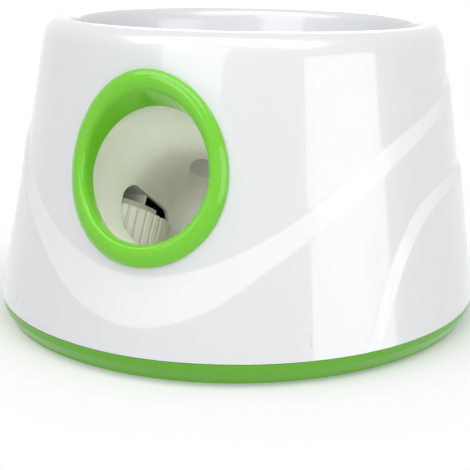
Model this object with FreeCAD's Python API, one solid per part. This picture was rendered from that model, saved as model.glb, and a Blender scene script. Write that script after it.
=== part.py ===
"""Automatic ball launcher for dogs: a conical table-top machine with an open hopper on top.

A ball dropped in the hopper waits on a swinging gate, falls into a pocket at the back of an
inclined launch tube, and is thrown out of the front port by two ribbed wheels that stand in
slots in the tube's sides. Each wheel is a cup that turns round its own motor.

Millimetres. +Z is up, -Y is the launch side, and the origin is on the floor at the middle of
the base. Every function makes one node, a closed solid or a group of like solids.
"""
import FreeCAD, Part
import math
import os
from FreeCAD import Matrix, Placement, Rotation, Vector

# ---- driving sizes ------------------------------------------------------------------------
HEIGHT = 225.0              # floor to the crest of the hopper rim
BASE_LENGTH = 408.0         # along the launch direction
BASE_WIDTH = 370.0
BALL_DIAMETER = 50.0
WALL = 2.8                  # moulded wall of the white shell

SHELL_FOOT_Z = 18.0         # where the white shell meets the base pan
RIM_Z = 210.0               # where the side wall starts to roll over into the rim
CREST_RADIUS = 150.6        # half the length of the rim's crest
SKIRT_TOP = (142.6, 214.0)  # half length and height where the rim has rolled down inside
SKIRT_FOOT = (140.0, 199.0)  # lower edge of the inner skirt, where the bowl begins

# Two moulded waves step the wall in, from level 2 at the lower rear up to level 0 round the port.
LEVEL_DRAFT = (0.180, 0.180, 0.155)   # how fast each level's wall leans in
LEVEL_INSET = (3.2, 0.0, 0.0)         # how far each level lies inside the shell's foot

PORT_Z = 136.0              # centre of the launch port on the wall
TUBE_TILT = 30.0            # launch direction above the horizontal, degrees
TUBE_RADIUS = 40.0          # inside, from the wheels back
MOUTH_RADIUS = 50.6         # inside, where the port ring's sleeve enters
TUBE_WALL = 2.6
POCKET_DEPTH = 147.0        # port to the back wall, along the tube

WHEEL_RADIUS = 46.0
WHEEL_GAP = 45.0            # between the two treads, so that they pinch the ball
WHEEL_DEPTH = 99.5          # port to the wheel axes, along the tube
WHEEL_BOTTOM = -31.0        # heights of the tread, square to the tube, from the tube's axis
WHEEL_TOP = -5.0
RIB_COUNT = 40

THROAT_AT = (10.0, -62.0)   # centre of the hopper's drop hole
THROAT_RADIUS = 27.0
THROAT_WALL = 2.5
GATE_Z = 143.5              # underside of the swinging gate
GATE_THICKNESS = 3.0
GATE_PIVOT = (THROAT_AT[0] + 36, THROAT_AT[1] + 35)
GATE_SWING = 62.0
GEAR_MODULE = 1.0
GATE_TEETH = 36
PINION_TEETH = 12

PAN_UNDERSIDE = 2.0
PAN_FLOOR = 2.8
FOOT_RADIUS = 12.0

PANEL_Z = 76.0              # centre of the control panel on the rear wall
BATTERY_BAY = (160.0, 58.0, 31.0)
BATTERY_Y = 92.0

SCREW_RADIUS = 1.5
SCREW_HEAD_RADIUS = 2.8

# ---- worked out ---------------------------------------------------------------------------
WIDTH_RATIO = BASE_WIDTH / BASE_LENGTH
FLOOR_TOP = PAN_UNDERSIDE + PAN_FLOOR
TILT = math.radians(TUBE_TILT)
ALONG = Vector(0, -math.cos(TILT), math.sin(TILT))    # out of the port
ACROSS = Vector(0, math.sin(TILT), math.cos(TILT))    # square to the tube, upwards
WHEEL_X = WHEEL_GAP / 2 + WHEEL_RADIUS
GEAR_DISTANCE = GEAR_MODULE * (GATE_TEETH + PINION_TEETH) / 2
PINION_AT = (GATE_PIVOT[0], GATE_PIVOT[1] + GEAR_DISTANCE)


def wall_radius(z, level):
    """Half length of the shell's outside at a height, on one of the three levels."""
    return BASE_LENGTH / 2 - LEVEL_INSET[level] - LEVEL_DRAFT[level] * (z - SHELL_FOOT_Z)


def on_wall(x, z, level=0):
    """y of the front wall at x and z."""
    r = wall_radius(z, level)
    return -r * math.sqrt(1 - (x / (WIDTH_RATIO * r)) ** 2)


PORT = Vector(0, on_wall(0, PORT_Z), PORT_Z)
TUBE_FRAME = Placement(PORT, Rotation(Vector(1, 0, 0), 90 - TUBE_TILT))


def wheel_frame(side):
    """+Z up the wheel's axis and square to the tube; its origin is level with the tube's axis."""
    place = PORT - ALONG * WHEEL_DEPTH + Vector(side * WHEEL_X, 0, 0)
    return Placement(place, Rotation(Vector(1, 0, 0), -TUBE_TILT))


# ---- helpers ------------------------------------------------------------------------------
def point(r, z):
    return Vector(r, 0, z)


def line(a, b):
    return Part.LineSegment(a, b).toShape()


def polygon(points):
    return Part.makePolygon(points + [points[0]])


def revolved(profile):
    """A closed profile of (radius, height) points, or of edges, turned about Z."""
    if isinstance(profile[0], tuple):
        wire = polygon([point(r, z) for r, z in profile])
    else:
        wire = Part.Wire(profile)
    return Part.Face(wire).revolve(Vector(0, 0, 0), Vector(0, 0, 1), 360)


def oval(shape):
    """Narrows a round solid to the product's oval plan."""
    squeeze = Matrix()
    squeeze.scale(WIDTH_RATIO, 1, 1)
    return shape.transformGeometry(squeeze)


def cylinder(radius, bottom, top, x=0.0, y=0.0):
    return Part.makeCylinder(radius, top - bottom, Vector(x, y, bottom))


def tube(inner, outer, bottom, top, x=0.0, y=0.0):
    return cylinder(outer, bottom, top, x, y).cut(cylinder(inner, bottom - 1, top + 1, x, y))


def box(low, high):
    size = Vector(*high) - Vector(*low)
    return Part.makeBox(size.x, size.y, size.z, Vector(*low))


def rounded_slab(width, length, radius, bottom, top):
    """A slab centred on Z with rounded corners."""
    slab = Part.makeBox(width, length, top - bottom, Vector(-width / 2, -length / 2, bottom))
    upright = [e for e in slab.Edges if abs(e.tangentAt(e.FirstParameter).z) > 0.9]
    return slab.makeFillet(radius, upright)


def placed(shape, placement):
    made = shape.copy()
    made.Placement = placement.multiply(made.Placement)
    return made


def moved(shape, x, y, z=0.0):
    made = shape.copy()
    made.translate(Vector(x, y, z))
    return made


def mirrored(shape):
    return shape.mirror(Vector(0, 0, 0), Vector(1, 0, 0))


def fused(first, *others):
    return first.multiFuse(list(others)).removeSplitter() if others else first


def screw(length, radius=SCREW_RADIUS, head=SCREW_HEAD_RADIUS):
    """A pan-head screw pointing up: the head's top is at z 0 and hangs below it."""
    head_height = head * 0.7
    made = cylinder(head, -head_height, 0).fuse(cylinder(radius, 0, length))
    return made.cut(cylinder(head * 0.45, -head_height, -head_height * 0.5))


def export(name, *solids):
    """Writes one node: a closed solid, or several."""
    whole = []
    for shape in solids:
        whole += shape.Solids
    if not whole:
        raise ValueError(name + " holds no solid")
    for solid in whole:
        if not solid.isValid() or solid.Volume <= 0:
            print("PROBLEM", name, "valid", solid.isValid(), "volume", round(solid.Volume, 1))
    shape = whole[0] if len(whole) == 1 else Part.makeCompound(whole)
    shape.exportStep("parts/" + name + ".step")
    print(f"{name:24s} {len(whole)} solid(s) {len(shape.Faces)} faces")


# ---- the white shell ----------------------------------------------------------------------
# Edges of the two moulded waves: degrees round the body from the port, and height. Each wave is a
# sloped band between its low edge, on the outer level, and its high edge, on the inner one.
FRONT_WAVE_LOW = [(0, 36), (15, 48), (30, 79), (45, 109), (60, 136), (80, 160), (105, 177), (140, 188), (180, 191)]
FRONT_WAVE_HIGH = [(0, 70), (15, 79), (30, 100), (45, 127), (60, 152), (80, 172), (105, 187), (140, 197), (180, 200)]
SIDE_WAVE_HIGH = [(0, -60), (20, -52), (35, -33), (46, -3), (51, 24), (55, 53), (60, 82), (67, 105), (78, 118),
                  (95, 122), (135, 125), (180, 127)]
SIDE_WAVE_TURN = 2.4        # the side wave's low edge lies this many degrees on and this far down
SIDE_WAVE_DROP = 10.0
WAVE_ANGLES = list(range(0, 36, 9)) + list(range(36, 72, 3)) + list(range(72, 181, 9))
RUN_ON = 0.3                # the front wave's band runs on past the wall it dies into


def height(edge, angle):
    """Height at an angle on the smooth curve through an edge's points, level at both ends."""
    angle = min(abs(angle), 180)
    i = max(k for k in range(len(edge) - 1) if edge[k][0] <= angle)

    def slope(k):
        if k in (0, len(edge) - 1):
            return 0.0
        return (edge[k + 1][1] - edge[k - 1][1]) / (edge[k + 1][0] - edge[k - 1][0])

    (a0, z0), (a1, z1) = edge[i], edge[i + 1]
    t, run = (angle - a0) / (a1 - a0), a1 - a0
    return ((1 + 2 * t) * (1 - t) ** 2 * z0 + t * (1 - t) ** 2 * run * slope(i)
            + t * t * (3 - 2 * t) * z1 - t * t * (1 - t) * run * slope(i + 1))


def loop(place):
    """A closed smooth curve round the body; place(angle) gives its half length and height there."""
    angles = WAVE_ANGLES + [360 - a for a in WAVE_ANGLES[-2:0:-1]]
    points = []
    for angle in angles:
        r, z = place(angle if angle <= 180 else 360 - angle)
        t = math.radians(angle)
        points.append(Vector(WIDTH_RATIO * r * math.sin(t), -r * math.cos(t), z))
    curve = Part.BSplineCurve()
    curve.interpolate(Points=points, PeriodicFlag=True, Parameters=[float(a) for a in angles] + [360.0])
    return Part.Wire(curve.toShape())


def side_wave_low(angle):
    return height(SIDE_WAVE_HIGH, angle - SIDE_WAVE_TURN * math.sin(math.radians(angle))) - SIDE_WAVE_DROP


def waves(inset):
    """The two raised levels of the wall with the sloped bands between them, full inside."""
    def on_level(level, z):
        return wall_radius(z, level) - inset, z

    def run_on(angle):
        low, high = height(FRONT_WAVE_LOW, angle), height(FRONT_WAVE_HIGH, angle)
        r_low, r_high = wall_radius(low, 1), wall_radius(high, 0)
        return r_high - (r_low - r_high + 0.6) * RUN_ON - inset, high + (high - low) * RUN_ON

    rings = [loop(lambda a: on_level(2, -90)), loop(lambda a: on_level(2, side_wave_low(a))),
             loop(lambda a: on_level(1, height(SIDE_WAVE_HIGH, a))),
             loop(lambda a: on_level(1, height(FRONT_WAVE_LOW, a))), loop(run_on),
             loop(lambda a: (0.55 * CREST_RADIUS, RIM_Z - 1))]
    return Part.makeLoft(rings, True, True)


def bezier(*poles):
    curve = Part.BezierCurve()
    curve.setPoles(list(poles))
    return curve.toShape()


def body_form(inset):
    """The body's outside as one full solid, or the same form taken in by inset."""
    foot_z = SHELL_FOOT_Z if inset == 0 else SHELL_FOOT_Z - 5
    foot = point(wall_radius(foot_z, 0) - inset, foot_z)
    corner = point(wall_radius(RIM_Z, 0) - inset, RIM_Z)
    crest = point(CREST_RADIUS, HEIGHT - inset)
    rise = 0.55 * (crest.z - corner.z)
    edges = [line(point(0, foot_z), foot), line(foot, corner),
             bezier(corner, corner + Vector(-LEVEL_DRAFT[0] * rise, 0, rise),
                    crest + Vector(0.6 * (corner.x - crest.x), 0, 0), crest),
             line(crest, point(0, crest.z)), line(point(0, crest.z), point(0, foot_z))]
    whole = oval(revolved(edges)).fuse(waves(inset))
    return whole.common(box((-300, -300, foot_z), (300, 300, HEIGHT + 50)))


def bowl_opening(inset, floor_z, foot_radius):
    """What the rolled rim and its skirt leave open: everything inside them, down to floor_z."""
    crest = point(CREST_RADIUS, HEIGHT - inset)
    top = point(SKIRT_TOP[0] + inset, SKIRT_TOP[1])
    foot = point(foot_radius, floor_z)
    high = HEIGHT + 60
    edges = [line(point(0, high), point(CREST_RADIUS, high)), line(point(CREST_RADIUS, high), crest),
             bezier(crest, crest - Vector(0.6 * (crest.x - top.x), 0, 0), top + Vector(0.5, 0, 0.5 * (crest.z - top.z)),
                    top),
             line(top, foot), line(foot, point(0, floor_z)), line(point(0, floor_z), point(0, high))]
    return oval(revolved(edges))


def port_cutter(grow=0.0):
    """The oval prism along the tube that the port ring's sleeve passes through."""
    rim = Part.Ellipse(Vector(0, 0, -60), PORT_HALF_HEIGHT + grow, PORT_HALF_WIDTH + grow)
    face = Part.Face(Part.Wire(rim.toShape()))
    face.rotate(Vector(0, 0, 0), Vector(0, 0, 1), 90)
    return placed(face.extrude(Vector(0, 0, 120)), TUBE_FRAME)


PORT_HALF_WIDTH = 47.4      # the sleeve's outside, square to the tube
PORT_HALF_HEIGHT = 49.8
CASE_SCREWS = [35, 90, 145, 215, 270, 325]
CASE_SCREW_SHARE = 0.915
BOWL_SCREWS = [30, 90, 150, 210, 270, 330]
BOSS_RADIUS = 4.5


def plan_spot(degrees, share, radius=BASE_LENGTH / 2):
    """x and y of a place on an oval round the middle; degrees count from the port."""
    t = math.radians(degrees)
    return WIDTH_RATIO * share * radius * math.sin(t), -share * radius * math.cos(t)


def outer_shell(outside, cavity):
    """Side wall, rolled rim and inner skirt in one moulding, with screw bosses inside."""
    bosses = []
    for angle in CASE_SCREWS:
        x, y = plan_spot(angle, CASE_SCREW_SHARE)
        boss = cylinder(BOSS_RADIUS, SHELL_FOOT_Z + 8, 52, x, y)
        outward = math.degrees(math.atan2(y, x))
        for turn in (-35, 35):
            rib = box((0, -0.8, SHELL_FOOT_Z + 9), (16, 0.8, 52))
            rib.rotate(Vector(0, 0, 0), Vector(0, 0, 1), outward + turn)
            boss = boss.fuse(moved(rib, x, y))
        bosses.append(boss.cut(cylinder(SCREW_RADIUS - 0.2, 0, 46, x, y)).common(outside))
    for angle in BOWL_SCREWS:
        x, y = plan_spot(angle, 1.0, 148.5)
        bosses.append(tube(SCREW_RADIUS - 0.2, 3.6, SKIRT_FOOT[1] - 0.4, HEIGHT - 6, x, y).common(cavity))
    shell = outside.cut(bowl_opening(0, SKIRT_FOOT[1] - 8, SKIRT_FOOT[0] - 0.9)).cut(cavity)
    shell = shell.multiFuse(bosses)
    return shell.cut(port_cutter(0.5)).cut(panel_prism(0.3))


# ---- the port ring ------------------------------------------------------------------------
RING_REACH = 7.6            # the bead's outer edge lies this far outside the port hole
RING_PROUD = 7.0
RING_TUCK = 6.0             # how deep the bead is made before the wall's form is cut from it
SLEEVE_LENGTH = 17.0
SLEEVE_WALL = 2.4


def depth_on_wall(x, up):
    """Where the line along the tube through (x, up) of the tube's frame meets the plain front wall."""
    low, high = -60.0, 60.0
    for _ in range(50):
        middle = (low + high) / 2
        p = TUBE_FRAME.multVec(Vector(x, up, middle))
        r = wall_radius(p.z, 0)
        if (p.x / (WIDTH_RATIO * r)) ** 2 + (p.y / r) ** 2 < 1:
            low = middle
        else:
            high = middle
    return low


def port_ring(outside):
    """The green bead that lies on the wall round the port, and its sleeve into the tube."""
    spine_points = []
    for i in range(48):
        t = 2 * math.pi * i / 48
        x, up = PORT_HALF_WIDTH * math.cos(t), PORT_HALF_HEIGHT * math.sin(t)
        spine_points.append(TUBE_FRAME.multVec(Vector(x, up, depth_on_wall(x, up))))
    spine = Part.BSplineCurve()
    spine.interpolate(Points=spine_points, PeriodicFlag=True)

    # section: out from the sleeve's outside along X, out of the port along ALONG
    start = spine_points[0]

    def at(out, along):
        return start + Vector(out, 0, 0) + ALONG * along

    edges = [line(at(RING_REACH, -RING_TUCK), at(RING_REACH, -1.0)),
             bezier(at(RING_REACH, -1.0), at(RING_REACH + 0.4, 3.6), at(5.0, RING_PROUD), at(2.0, RING_PROUD)),
             bezier(at(2.0, RING_PROUD), at(-1.4, RING_PROUD), at(-SLEEVE_WALL, 4.2), at(-SLEEVE_WALL, 1.0)),
             line(at(-SLEEVE_WALL, 1.0), at(-SLEEVE_WALL, -SLEEVE_LENGTH)),
             line(at(-SLEEVE_WALL, -SLEEVE_LENGTH), at(0, -SLEEVE_LENGTH)),
             line(at(0, -SLEEVE_LENGTH), at(0, -RING_TUCK)),
             line(at(0, -RING_TUCK), at(RING_REACH, -RING_TUCK))]
    sweep = Part.BRepOffsetAPI.MakePipeShell(Part.Wire(spine.toShape()))
    sweep.setBiNormalMode(ALONG)
    sweep.add(Part.Wire(edges), False, False)
    sweep.build()
    sweep.makeSolid()
    return Part.Solid(sweep.shape()).cut(outside.cut(port_cutter(0.5)))


# ---- the hopper bowl ----------------------------------------------------------------------
BOWL_WALL = 2.4
BOWL_SHOULDER_Z = 186.0


def oval_ring(radius, y, z, ratio=WIDTH_RATIO, x=0.0):
    """A closed curve in plan, as one edge, for lofts."""
    points = []
    for i in range(24):
        t = 2 * math.pi * i / 24
        points.append(Vector(x + ratio * radius * math.sin(t), y - radius * math.cos(t), z))
    curve = Part.BSplineCurve()
    curve.interpolate(Points=points, PeriodicFlag=True)
    return Part.Wire(curve.toShape())


def bowl_form(grow, top_z, hole_z):
    """The funnel's form: oval at the skirt, round at the drop hole, which lies off to the front."""
    rings = [oval_ring(SKIRT_FOOT[0] + 0.8 + grow, 0, top_z),
             oval_ring(SKIRT_FOOT[0] - 8 + grow, -1, BOWL_SHOULDER_Z - grow / 2),
             oval_ring(86 + grow, -22, 167 - grow, 0.95),
             oval_ring(THROAT_RADIUS - 3 + grow, THROAT_AT[1], hole_z, 1.0, THROAT_AT[0])]
    return Part.makeLoft(rings, True, False)


def hopper_bowl():
    """The oval funnel under the rim, with a flange for its screws and a collar round the drop hole."""
    top = SKIRT_FOOT[1] - 0.4
    outside = bowl_form(BOWL_WALL, top, 147.6)
    inside = bowl_form(0, top + 1.6, 149.0)
    flange = oval(revolved([(SKIRT_FOOT[0] - 1, top - 2.8), (SKIRT_FOOT[0] + 13, top - 2.8),
                            (SKIRT_FOOT[0] + 13, top), (SKIRT_FOOT[0] - 1, top)]))
    collar = cylinder(THROAT_RADIUS + THROAT_WALL, 148.6, 154, *THROAT_AT)
    bowl = outside.common(box((-200, -200, 148.6), (200, 200, top)))
    bowl = fused(bowl, flange, collar).cut(inside).cut(cylinder(THROAT_RADIUS, 140, 178, *THROAT_AT))
    for angle in BOWL_SCREWS:
        x, y = plan_spot(angle, 1.0, 148.5)
        bowl = bowl.cut(cylinder(SCREW_RADIUS + 0.15, 180, 210, x, y))
    return bowl


def bowl_screws():
    made = []
    for angle in BOWL_SCREWS:
        x, y = plan_spot(angle, 1.0, 148.5)
        made.append(moved(screw(9, SCREW_RADIUS - 0.2), x, y, SKIRT_FOOT[1] - 3.2))
    return made


# ---- the launch tube ----------------------------------------------------------------------
WING_TOP = -34.0            # side plates that carry the motors, square to the tube
WING_BOTTOM = -37.0
BRACKET_RADIUS = 21.4
SLOT_TOP = 11.4
SLOT_BOTTOM = -33.0
SLOT_HALF = 38.5
SLOT_CORNER = 11.0
COVER = (11.6, 13.8)        # bottom and top of the plate over each wheel, square to the tube
COVER_REACH = 86.0
COVER_END = -95.0           # its end wall, just ahead of the wheel's shaft
LEGS = [(98.0, -76.0), (38.0, -156.0)]
LEG_RADIUS = 6.0
PAD_TOP = 7.0


def tube_form(grow):
    return placed(revolved([(0, 40), (MOUTH_RADIUS + grow, 40), (MOUTH_RADIUS + grow, -38), (TUBE_RADIUS + grow, -60),
                            (TUBE_RADIUS + grow, -POCKET_DEPTH + 8), (TUBE_RADIUS + grow - 6, -POCKET_DEPTH - grow),
                            (0, -POCKET_DEPTH - grow)]), TUBE_FRAME)


def half_space(upper):
    """Everything above, or below, the plane that splits the tube."""
    low, high = (0, 200) if upper else (-200, 0)
    return placed(box((-200, low, -300), (200, high, 120)), TUBE_FRAME)


def wheel_slots():
    slab = rounded_slab(SLOT_TOP - SLOT_BOTTOM, 2 * SLOT_HALF, SLOT_CORNER, 0, 60)
    slab.rotate(Vector(0, 0, 0), Vector(0, 1, 0), 90)
    right = moved(slab, 18, (SLOT_TOP + SLOT_BOTTOM) / 2, -WHEEL_DEPTH)
    right.rotate(Vector(18, (SLOT_TOP + SLOT_BOTTOM) / 2, -WHEEL_DEPTH), Vector(1, 0, 0), 90)
    return [placed(right, TUBE_FRAME), placed(mirrored(right), TUBE_FRAME)]


def tube_ears(upper):
    """Screw ears on the split, ahead of and behind the slots."""
    low, high = (0, 3.2) if upper else (-3.2, 0)
    made = []
    for side in (-1, 1):
        for x, back in TUBE_SCREWS:
            edge = sorted((side * 33.0, side * (x + 4.5)))
            ear = box((edge[0], low, -back - 5), (edge[1], high, -back + 5))
            hole = Part.makeCylinder(SCREW_RADIUS - (0 if upper else 0.2), 20, Vector(side * x, -10, -back),
                                     Vector(0, 1, 0))
            made.append(placed(ear.cut(hole), TUBE_FRAME))
    return made


TUBE_SCREWS = [(53.0, 50.0), (49.0, 144.5)]    # x, and how far back along the tube


def wheel_covers():
    """A plate over the front half of each wheel, with an end wall that stops short of the wheel's collar."""
    made = []
    for side in (-1, 1):
        edge = sorted((side * 36.0, side * COVER_REACH))
        plate = box((edge[0], COVER[0], COVER_END - 2.2), (edge[1], COVER[1], COVER_END + 38))
        wall = box((edge[0], 1.2, COVER_END - 2.2), (edge[1], COVER[1], COVER_END))
        made += [placed(plate, TUBE_FRAME), placed(wall, TUBE_FRAME)]
    return made


def launch_tube_upper(cavity):
    """The tube's roof, with the drop hole and the two wheel covers."""
    half = fused(tube_form(TUBE_WALL).common(half_space(True)), *tube_ears(True)).cut(tube_form(0))
    for cutter in wheel_slots():
        half = half.cut(cutter)
    half = half.fuse(fused(*wheel_covers()).cut(tube_form(TUBE_WALL / 2)))
    half = half.cut(cylinder(THROAT_RADIUS, 40, 200, *THROAT_AT))
    return half.common(cavity)


def wing_height(y):
    """World height of the wings' underside at y."""
    return PORT.z + (WING_BOTTOM - ACROSS.y * (y - PORT.y)) / ACROSS.z


def launch_tube_lower(cavity):
    """The trough that the ball rolls in, with the two wings that carry the motors and four legs."""
    half = tube_form(TUBE_WALL).common(half_space(False))
    wings, legs = [], []
    for side in (-1, 1):
        edge = sorted((side * 24.0, side * 112.0))
        wing = box((edge[0], WING_BOTTOM, -WHEEL_DEPTH - 40), (edge[1], WING_TOP, -WHEEL_DEPTH + 54.5))
        wings.append(placed(wing, TUBE_FRAME))
        for x, y in LEGS:
            legs.append(cylinder(LEG_RADIUS, PAD_TOP, wing_height(y) + 4.2, side * x, y))
    half = fused(half, *wings, *legs, *tube_ears(False)).cut(tube_form(0))
    above_wings = placed(box((-150, WING_TOP, -300), (150, SLOT_TOP, 100)), TUBE_FRAME)
    keep = fused(tube_form(TUBE_WALL), *tube_ears(False))
    half = half.cut(above_wings.cut(keep))
    for cutter in wheel_slots():
        half = half.cut(cutter)
    for side in (-1, 1):
        hole = placed(cylinder(BRACKET_RADIUS + 0.3, -45, -30), wheel_frame(side))
        half = half.cut(hole)
        for x, y in bracket_screw_spots():
            half = half.cut(placed(cylinder(SCREW_RADIUS - 0.2, -45, -30, x, y), wheel_frame(side)))
        for x, y in LEGS:
            half = half.cut(cylinder(SCREW_RADIUS - 0.2, 0, PAD_TOP + 12, side * x, y))
    return half.common(cavity)


def tube_screws():
    """Four screws, down through the upper ears into the lower ones."""
    made = []
    for side in (-1, 1):
        for x, back in TUBE_SCREWS:
            one = screw(6.2, SCREW_RADIUS - 0.2)
            one.rotate(Vector(0, 0, 0), Vector(1, 0, 0), 90)
            made.append(placed(moved(one, side * x, 3.2, -back), TUBE_FRAME))
    return made


# ---- wheels and their motors --------------------------------------------------------------
CORE_RADIUS = 42.0
CORE_WALL = 3.4
COLLAR_RADIUS = 40.4
COLLAR_GAP = (-10.0, 18.0)  # degrees of the collar that are open, in each quarter turn
WEB = (-9.0, -5.0)
SHAFT_RADIUS = 2.5
MOTOR_RADIUS = 18.5
MOTOR_TOP = -15.5
MOTOR_BOTTOM = -70.0
PLATE_TOP = -13.5


def tread(side):
    """The ribbed sleeve that grips the ball."""
    pitch = 2 * math.pi / RIB_COUNT
    crest, root = WHEEL_RADIUS, WHEEL_RADIUS - 1.3

    def spot(r, a):
        return Vector(r * math.cos(a), r * math.sin(a), WHEEL_BOTTOM)

    edges = []
    for i in range(RIB_COUNT):
        a = i * pitch
        edges.append(Part.Arc(spot(crest, a), spot(crest, a + 0.3 * pitch), spot(crest, a + 0.6 * pitch)).toShape())
        edges.append(Part.Arc(spot(crest, a + 0.6 * pitch), spot(root, a + 0.8 * pitch), spot(crest, a + pitch)).toShape())
    outline = Part.Face(Part.Wire(edges)).extrude(Vector(0, 0, WHEEL_TOP - WHEEL_BOTTOM))
    return placed(outline.cut(cylinder(CORE_RADIUS, WHEEL_BOTTOM - 1, WHEEL_TOP + 1)), wheel_frame(side))


def wheel_hub(side):
    """A cup with a spoked web, a collar above the tread, and a boss pressed on the motor's shaft."""
    cup = revolved([(SHAFT_RADIUS, PLATE_TOP + 1), (7, PLATE_TOP + 1), (7, WEB[0]), (CORE_RADIUS - CORE_WALL, WEB[0]),
                    (CORE_RADIUS - CORE_WALL, WHEEL_BOTTOM), (CORE_RADIUS, WHEEL_BOTTOM), (CORE_RADIUS, WEB[1]),
                    (COLLAR_RADIUS, WEB[1]), (COLLAR_RADIUS, 0), (COLLAR_RADIUS - 3, 0), (COLLAR_RADIUS - 3, WEB[1]),
                    (8, WEB[1]), (7, -2), (SHAFT_RADIUS, -2)])
    for i in range(6):
        t = math.radians(60 * i + 30)
        cup = cup.cut(cylinder(8.5, -12, 2, 23 * math.cos(t), 23 * math.sin(t)))
    for i in range(4):
        gap = Part.makeCylinder(COLLAR_RADIUS + 1, 8, Vector(0, 0, WEB[1]), Vector(0, 0, 1), COLLAR_GAP[1] - COLLAR_GAP[0])
        gap = gap.cut(cylinder(COLLAR_RADIUS - 6, WEB[1] - 1, 4))
        gap.rotate(Vector(0, 0, 0), Vector(0, 0, 1), COLLAR_GAP[0] + 90 * i)
        cup = cup.cut(gap)
    return placed(cup, wheel_frame(side))


def motor_shaft(side):
    return placed(cylinder(SHAFT_RADIUS, MOTOR_TOP - 9, -2.6), wheel_frame(side))


def motor_can(side):
    """Drawn steel can with a bearing boss on top, flats for the magnets and cooling windows."""
    can = revolved([(0, MOTOR_BOTTOM), (MOTOR_RADIUS, MOTOR_BOTTOM), (MOTOR_RADIUS, MOTOR_TOP - 1.5),
                    (MOTOR_RADIUS - 1.5, MOTOR_TOP), (6, MOTOR_TOP), (6, PLATE_TOP), (0, PLATE_TOP)])
    can = can.cut(cylinder(SHAFT_RADIUS + 0.06, MOTOR_TOP - 10, 0))
    for turn in (0, 180):
        window = box((MOTOR_RADIUS - 3, -3, MOTOR_BOTTOM + 6), (MOTOR_RADIUS + 3, 3, MOTOR_BOTTOM + 18))
        window.rotate(Vector(0, 0, 0), Vector(0, 0, 1), turn)
        can = can.cut(window)
    return placed(can, wheel_frame(side))


def motor_endcap(side):
    """Moulded end cap with the two brush terminals."""
    cap = revolved([(0, MOTOR_BOTTOM - 4.5), (15, MOTOR_BOTTOM - 4.5), (17, MOTOR_BOTTOM - 2.5), (17, MOTOR_BOTTOM),
                    (0, MOTOR_BOTTOM)])
    for y in (-9.5, 9.5):
        cap = cap.fuse(box((-2.4, y - 0.4, MOTOR_BOTTOM - 9), (2.4, y + 0.4, MOTOR_BOTTOM - 4)))
    return placed(cap, wheel_frame(side))


def bracket_screw_spots():
    return [(26.5 * math.cos(math.radians(a)), 26.5 * math.sin(math.radians(a))) for a in (90, 210, 330)]


def motor_bracket(side):
    """A top hat that holds the motor inside the cup and bolts up to the tube's wing."""
    hat = revolved([(6.4, PLATE_TOP), (BRACKET_RADIUS, PLATE_TOP), (BRACKET_RADIUS, WING_BOTTOM),
                    (31, WING_BOTTOM), (31, WING_BOTTOM - 2.6), (MOTOR_RADIUS + 0.1, WING_BOTTOM - 2.6),
                    (MOTOR_RADIUS + 0.1, MOTOR_TOP), (6.4, MOTOR_TOP)])
    for x, y in bracket_screw_spots():
        hat = hat.cut(cylinder(SCREW_RADIUS, -60, -30, x, y))
    return placed(hat, wheel_frame(side))


def bracket_screws():
    made = []
    for side in (-1, 1):
        for x, y in bracket_screw_spots():
            made.append(placed(moved(screw(5.4, SCREW_RADIUS - 0.2), x, y, WING_BOTTOM - 2.6), wheel_frame(side)))
    return made


# ---- the feed throat and its gate ---------------------------------------------------------
PLATE = (140.6, 143.0)      # bottom and top of the throat's flange
GEARMOTOR_RADIUS = 12.5
GEARMOTOR_SCREW_X = 9.9


def feed_throat():
    """A short drop tube that saddles the launch tube, with a flange for the gate and its gearmotor."""
    barrel = cylinder(THROAT_RADIUS + THROAT_WALL, 84, 148.6, *THROAT_AT)
    arm = box((PINION_AT[0] - 19, GATE_PIVOT[1] - 14, PLATE[0]), (PINION_AT[0] + 19, PINION_AT[1] + 17, PLATE[1]))
    neck = box((THROAT_AT[0], THROAT_AT[1] - 8, PLATE[0]), (PINION_AT[0] + 19, PINION_AT[1] - 12, PLATE[1]))
    body = fused(barrel, arm, neck).cut(cylinder(THROAT_RADIUS, 80, 160, *THROAT_AT))
    # the blade's slot: all that its finger and arm sweep, between the flange and the bowl's collar
    body = body.cut(cylinder(GATE_REACH + GATE_FINGER + 1.5, PLATE[1], 147.4, *GATE_PIVOT))
    body = body.cut(tube_form(TUBE_WALL + 0.05))
    body = body.cut(cylinder(2.05, 130, 150, *GATE_PIVOT)).cut(cylinder(4.2, 130, 150, *PINION_AT))
    for x in (-GEARMOTOR_SCREW_X, GEARMOTOR_SCREW_X):
        body = body.cut(cylinder(SCREW_RADIUS, 130, 150, PINION_AT[0] + x, PINION_AT[1]))
    for side in (-1, 1):
        x = THROAT_AT[0] + side * (THROAT_RADIUS - 3)
        body = body.cut(Part.makeCylinder(2.6, 8, Vector(x, THROAT_AT[1], SENSOR_Z), Vector(side, 0, 0)))
    return body


GATE_REACH = math.hypot(GATE_PIVOT[0] - THROAT_AT[0], GATE_PIVOT[1] - THROAT_AT[1])
GATE_FINGER = 17.0
SENSOR_Z = 134.0
BACKLASH = 0.28


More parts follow.
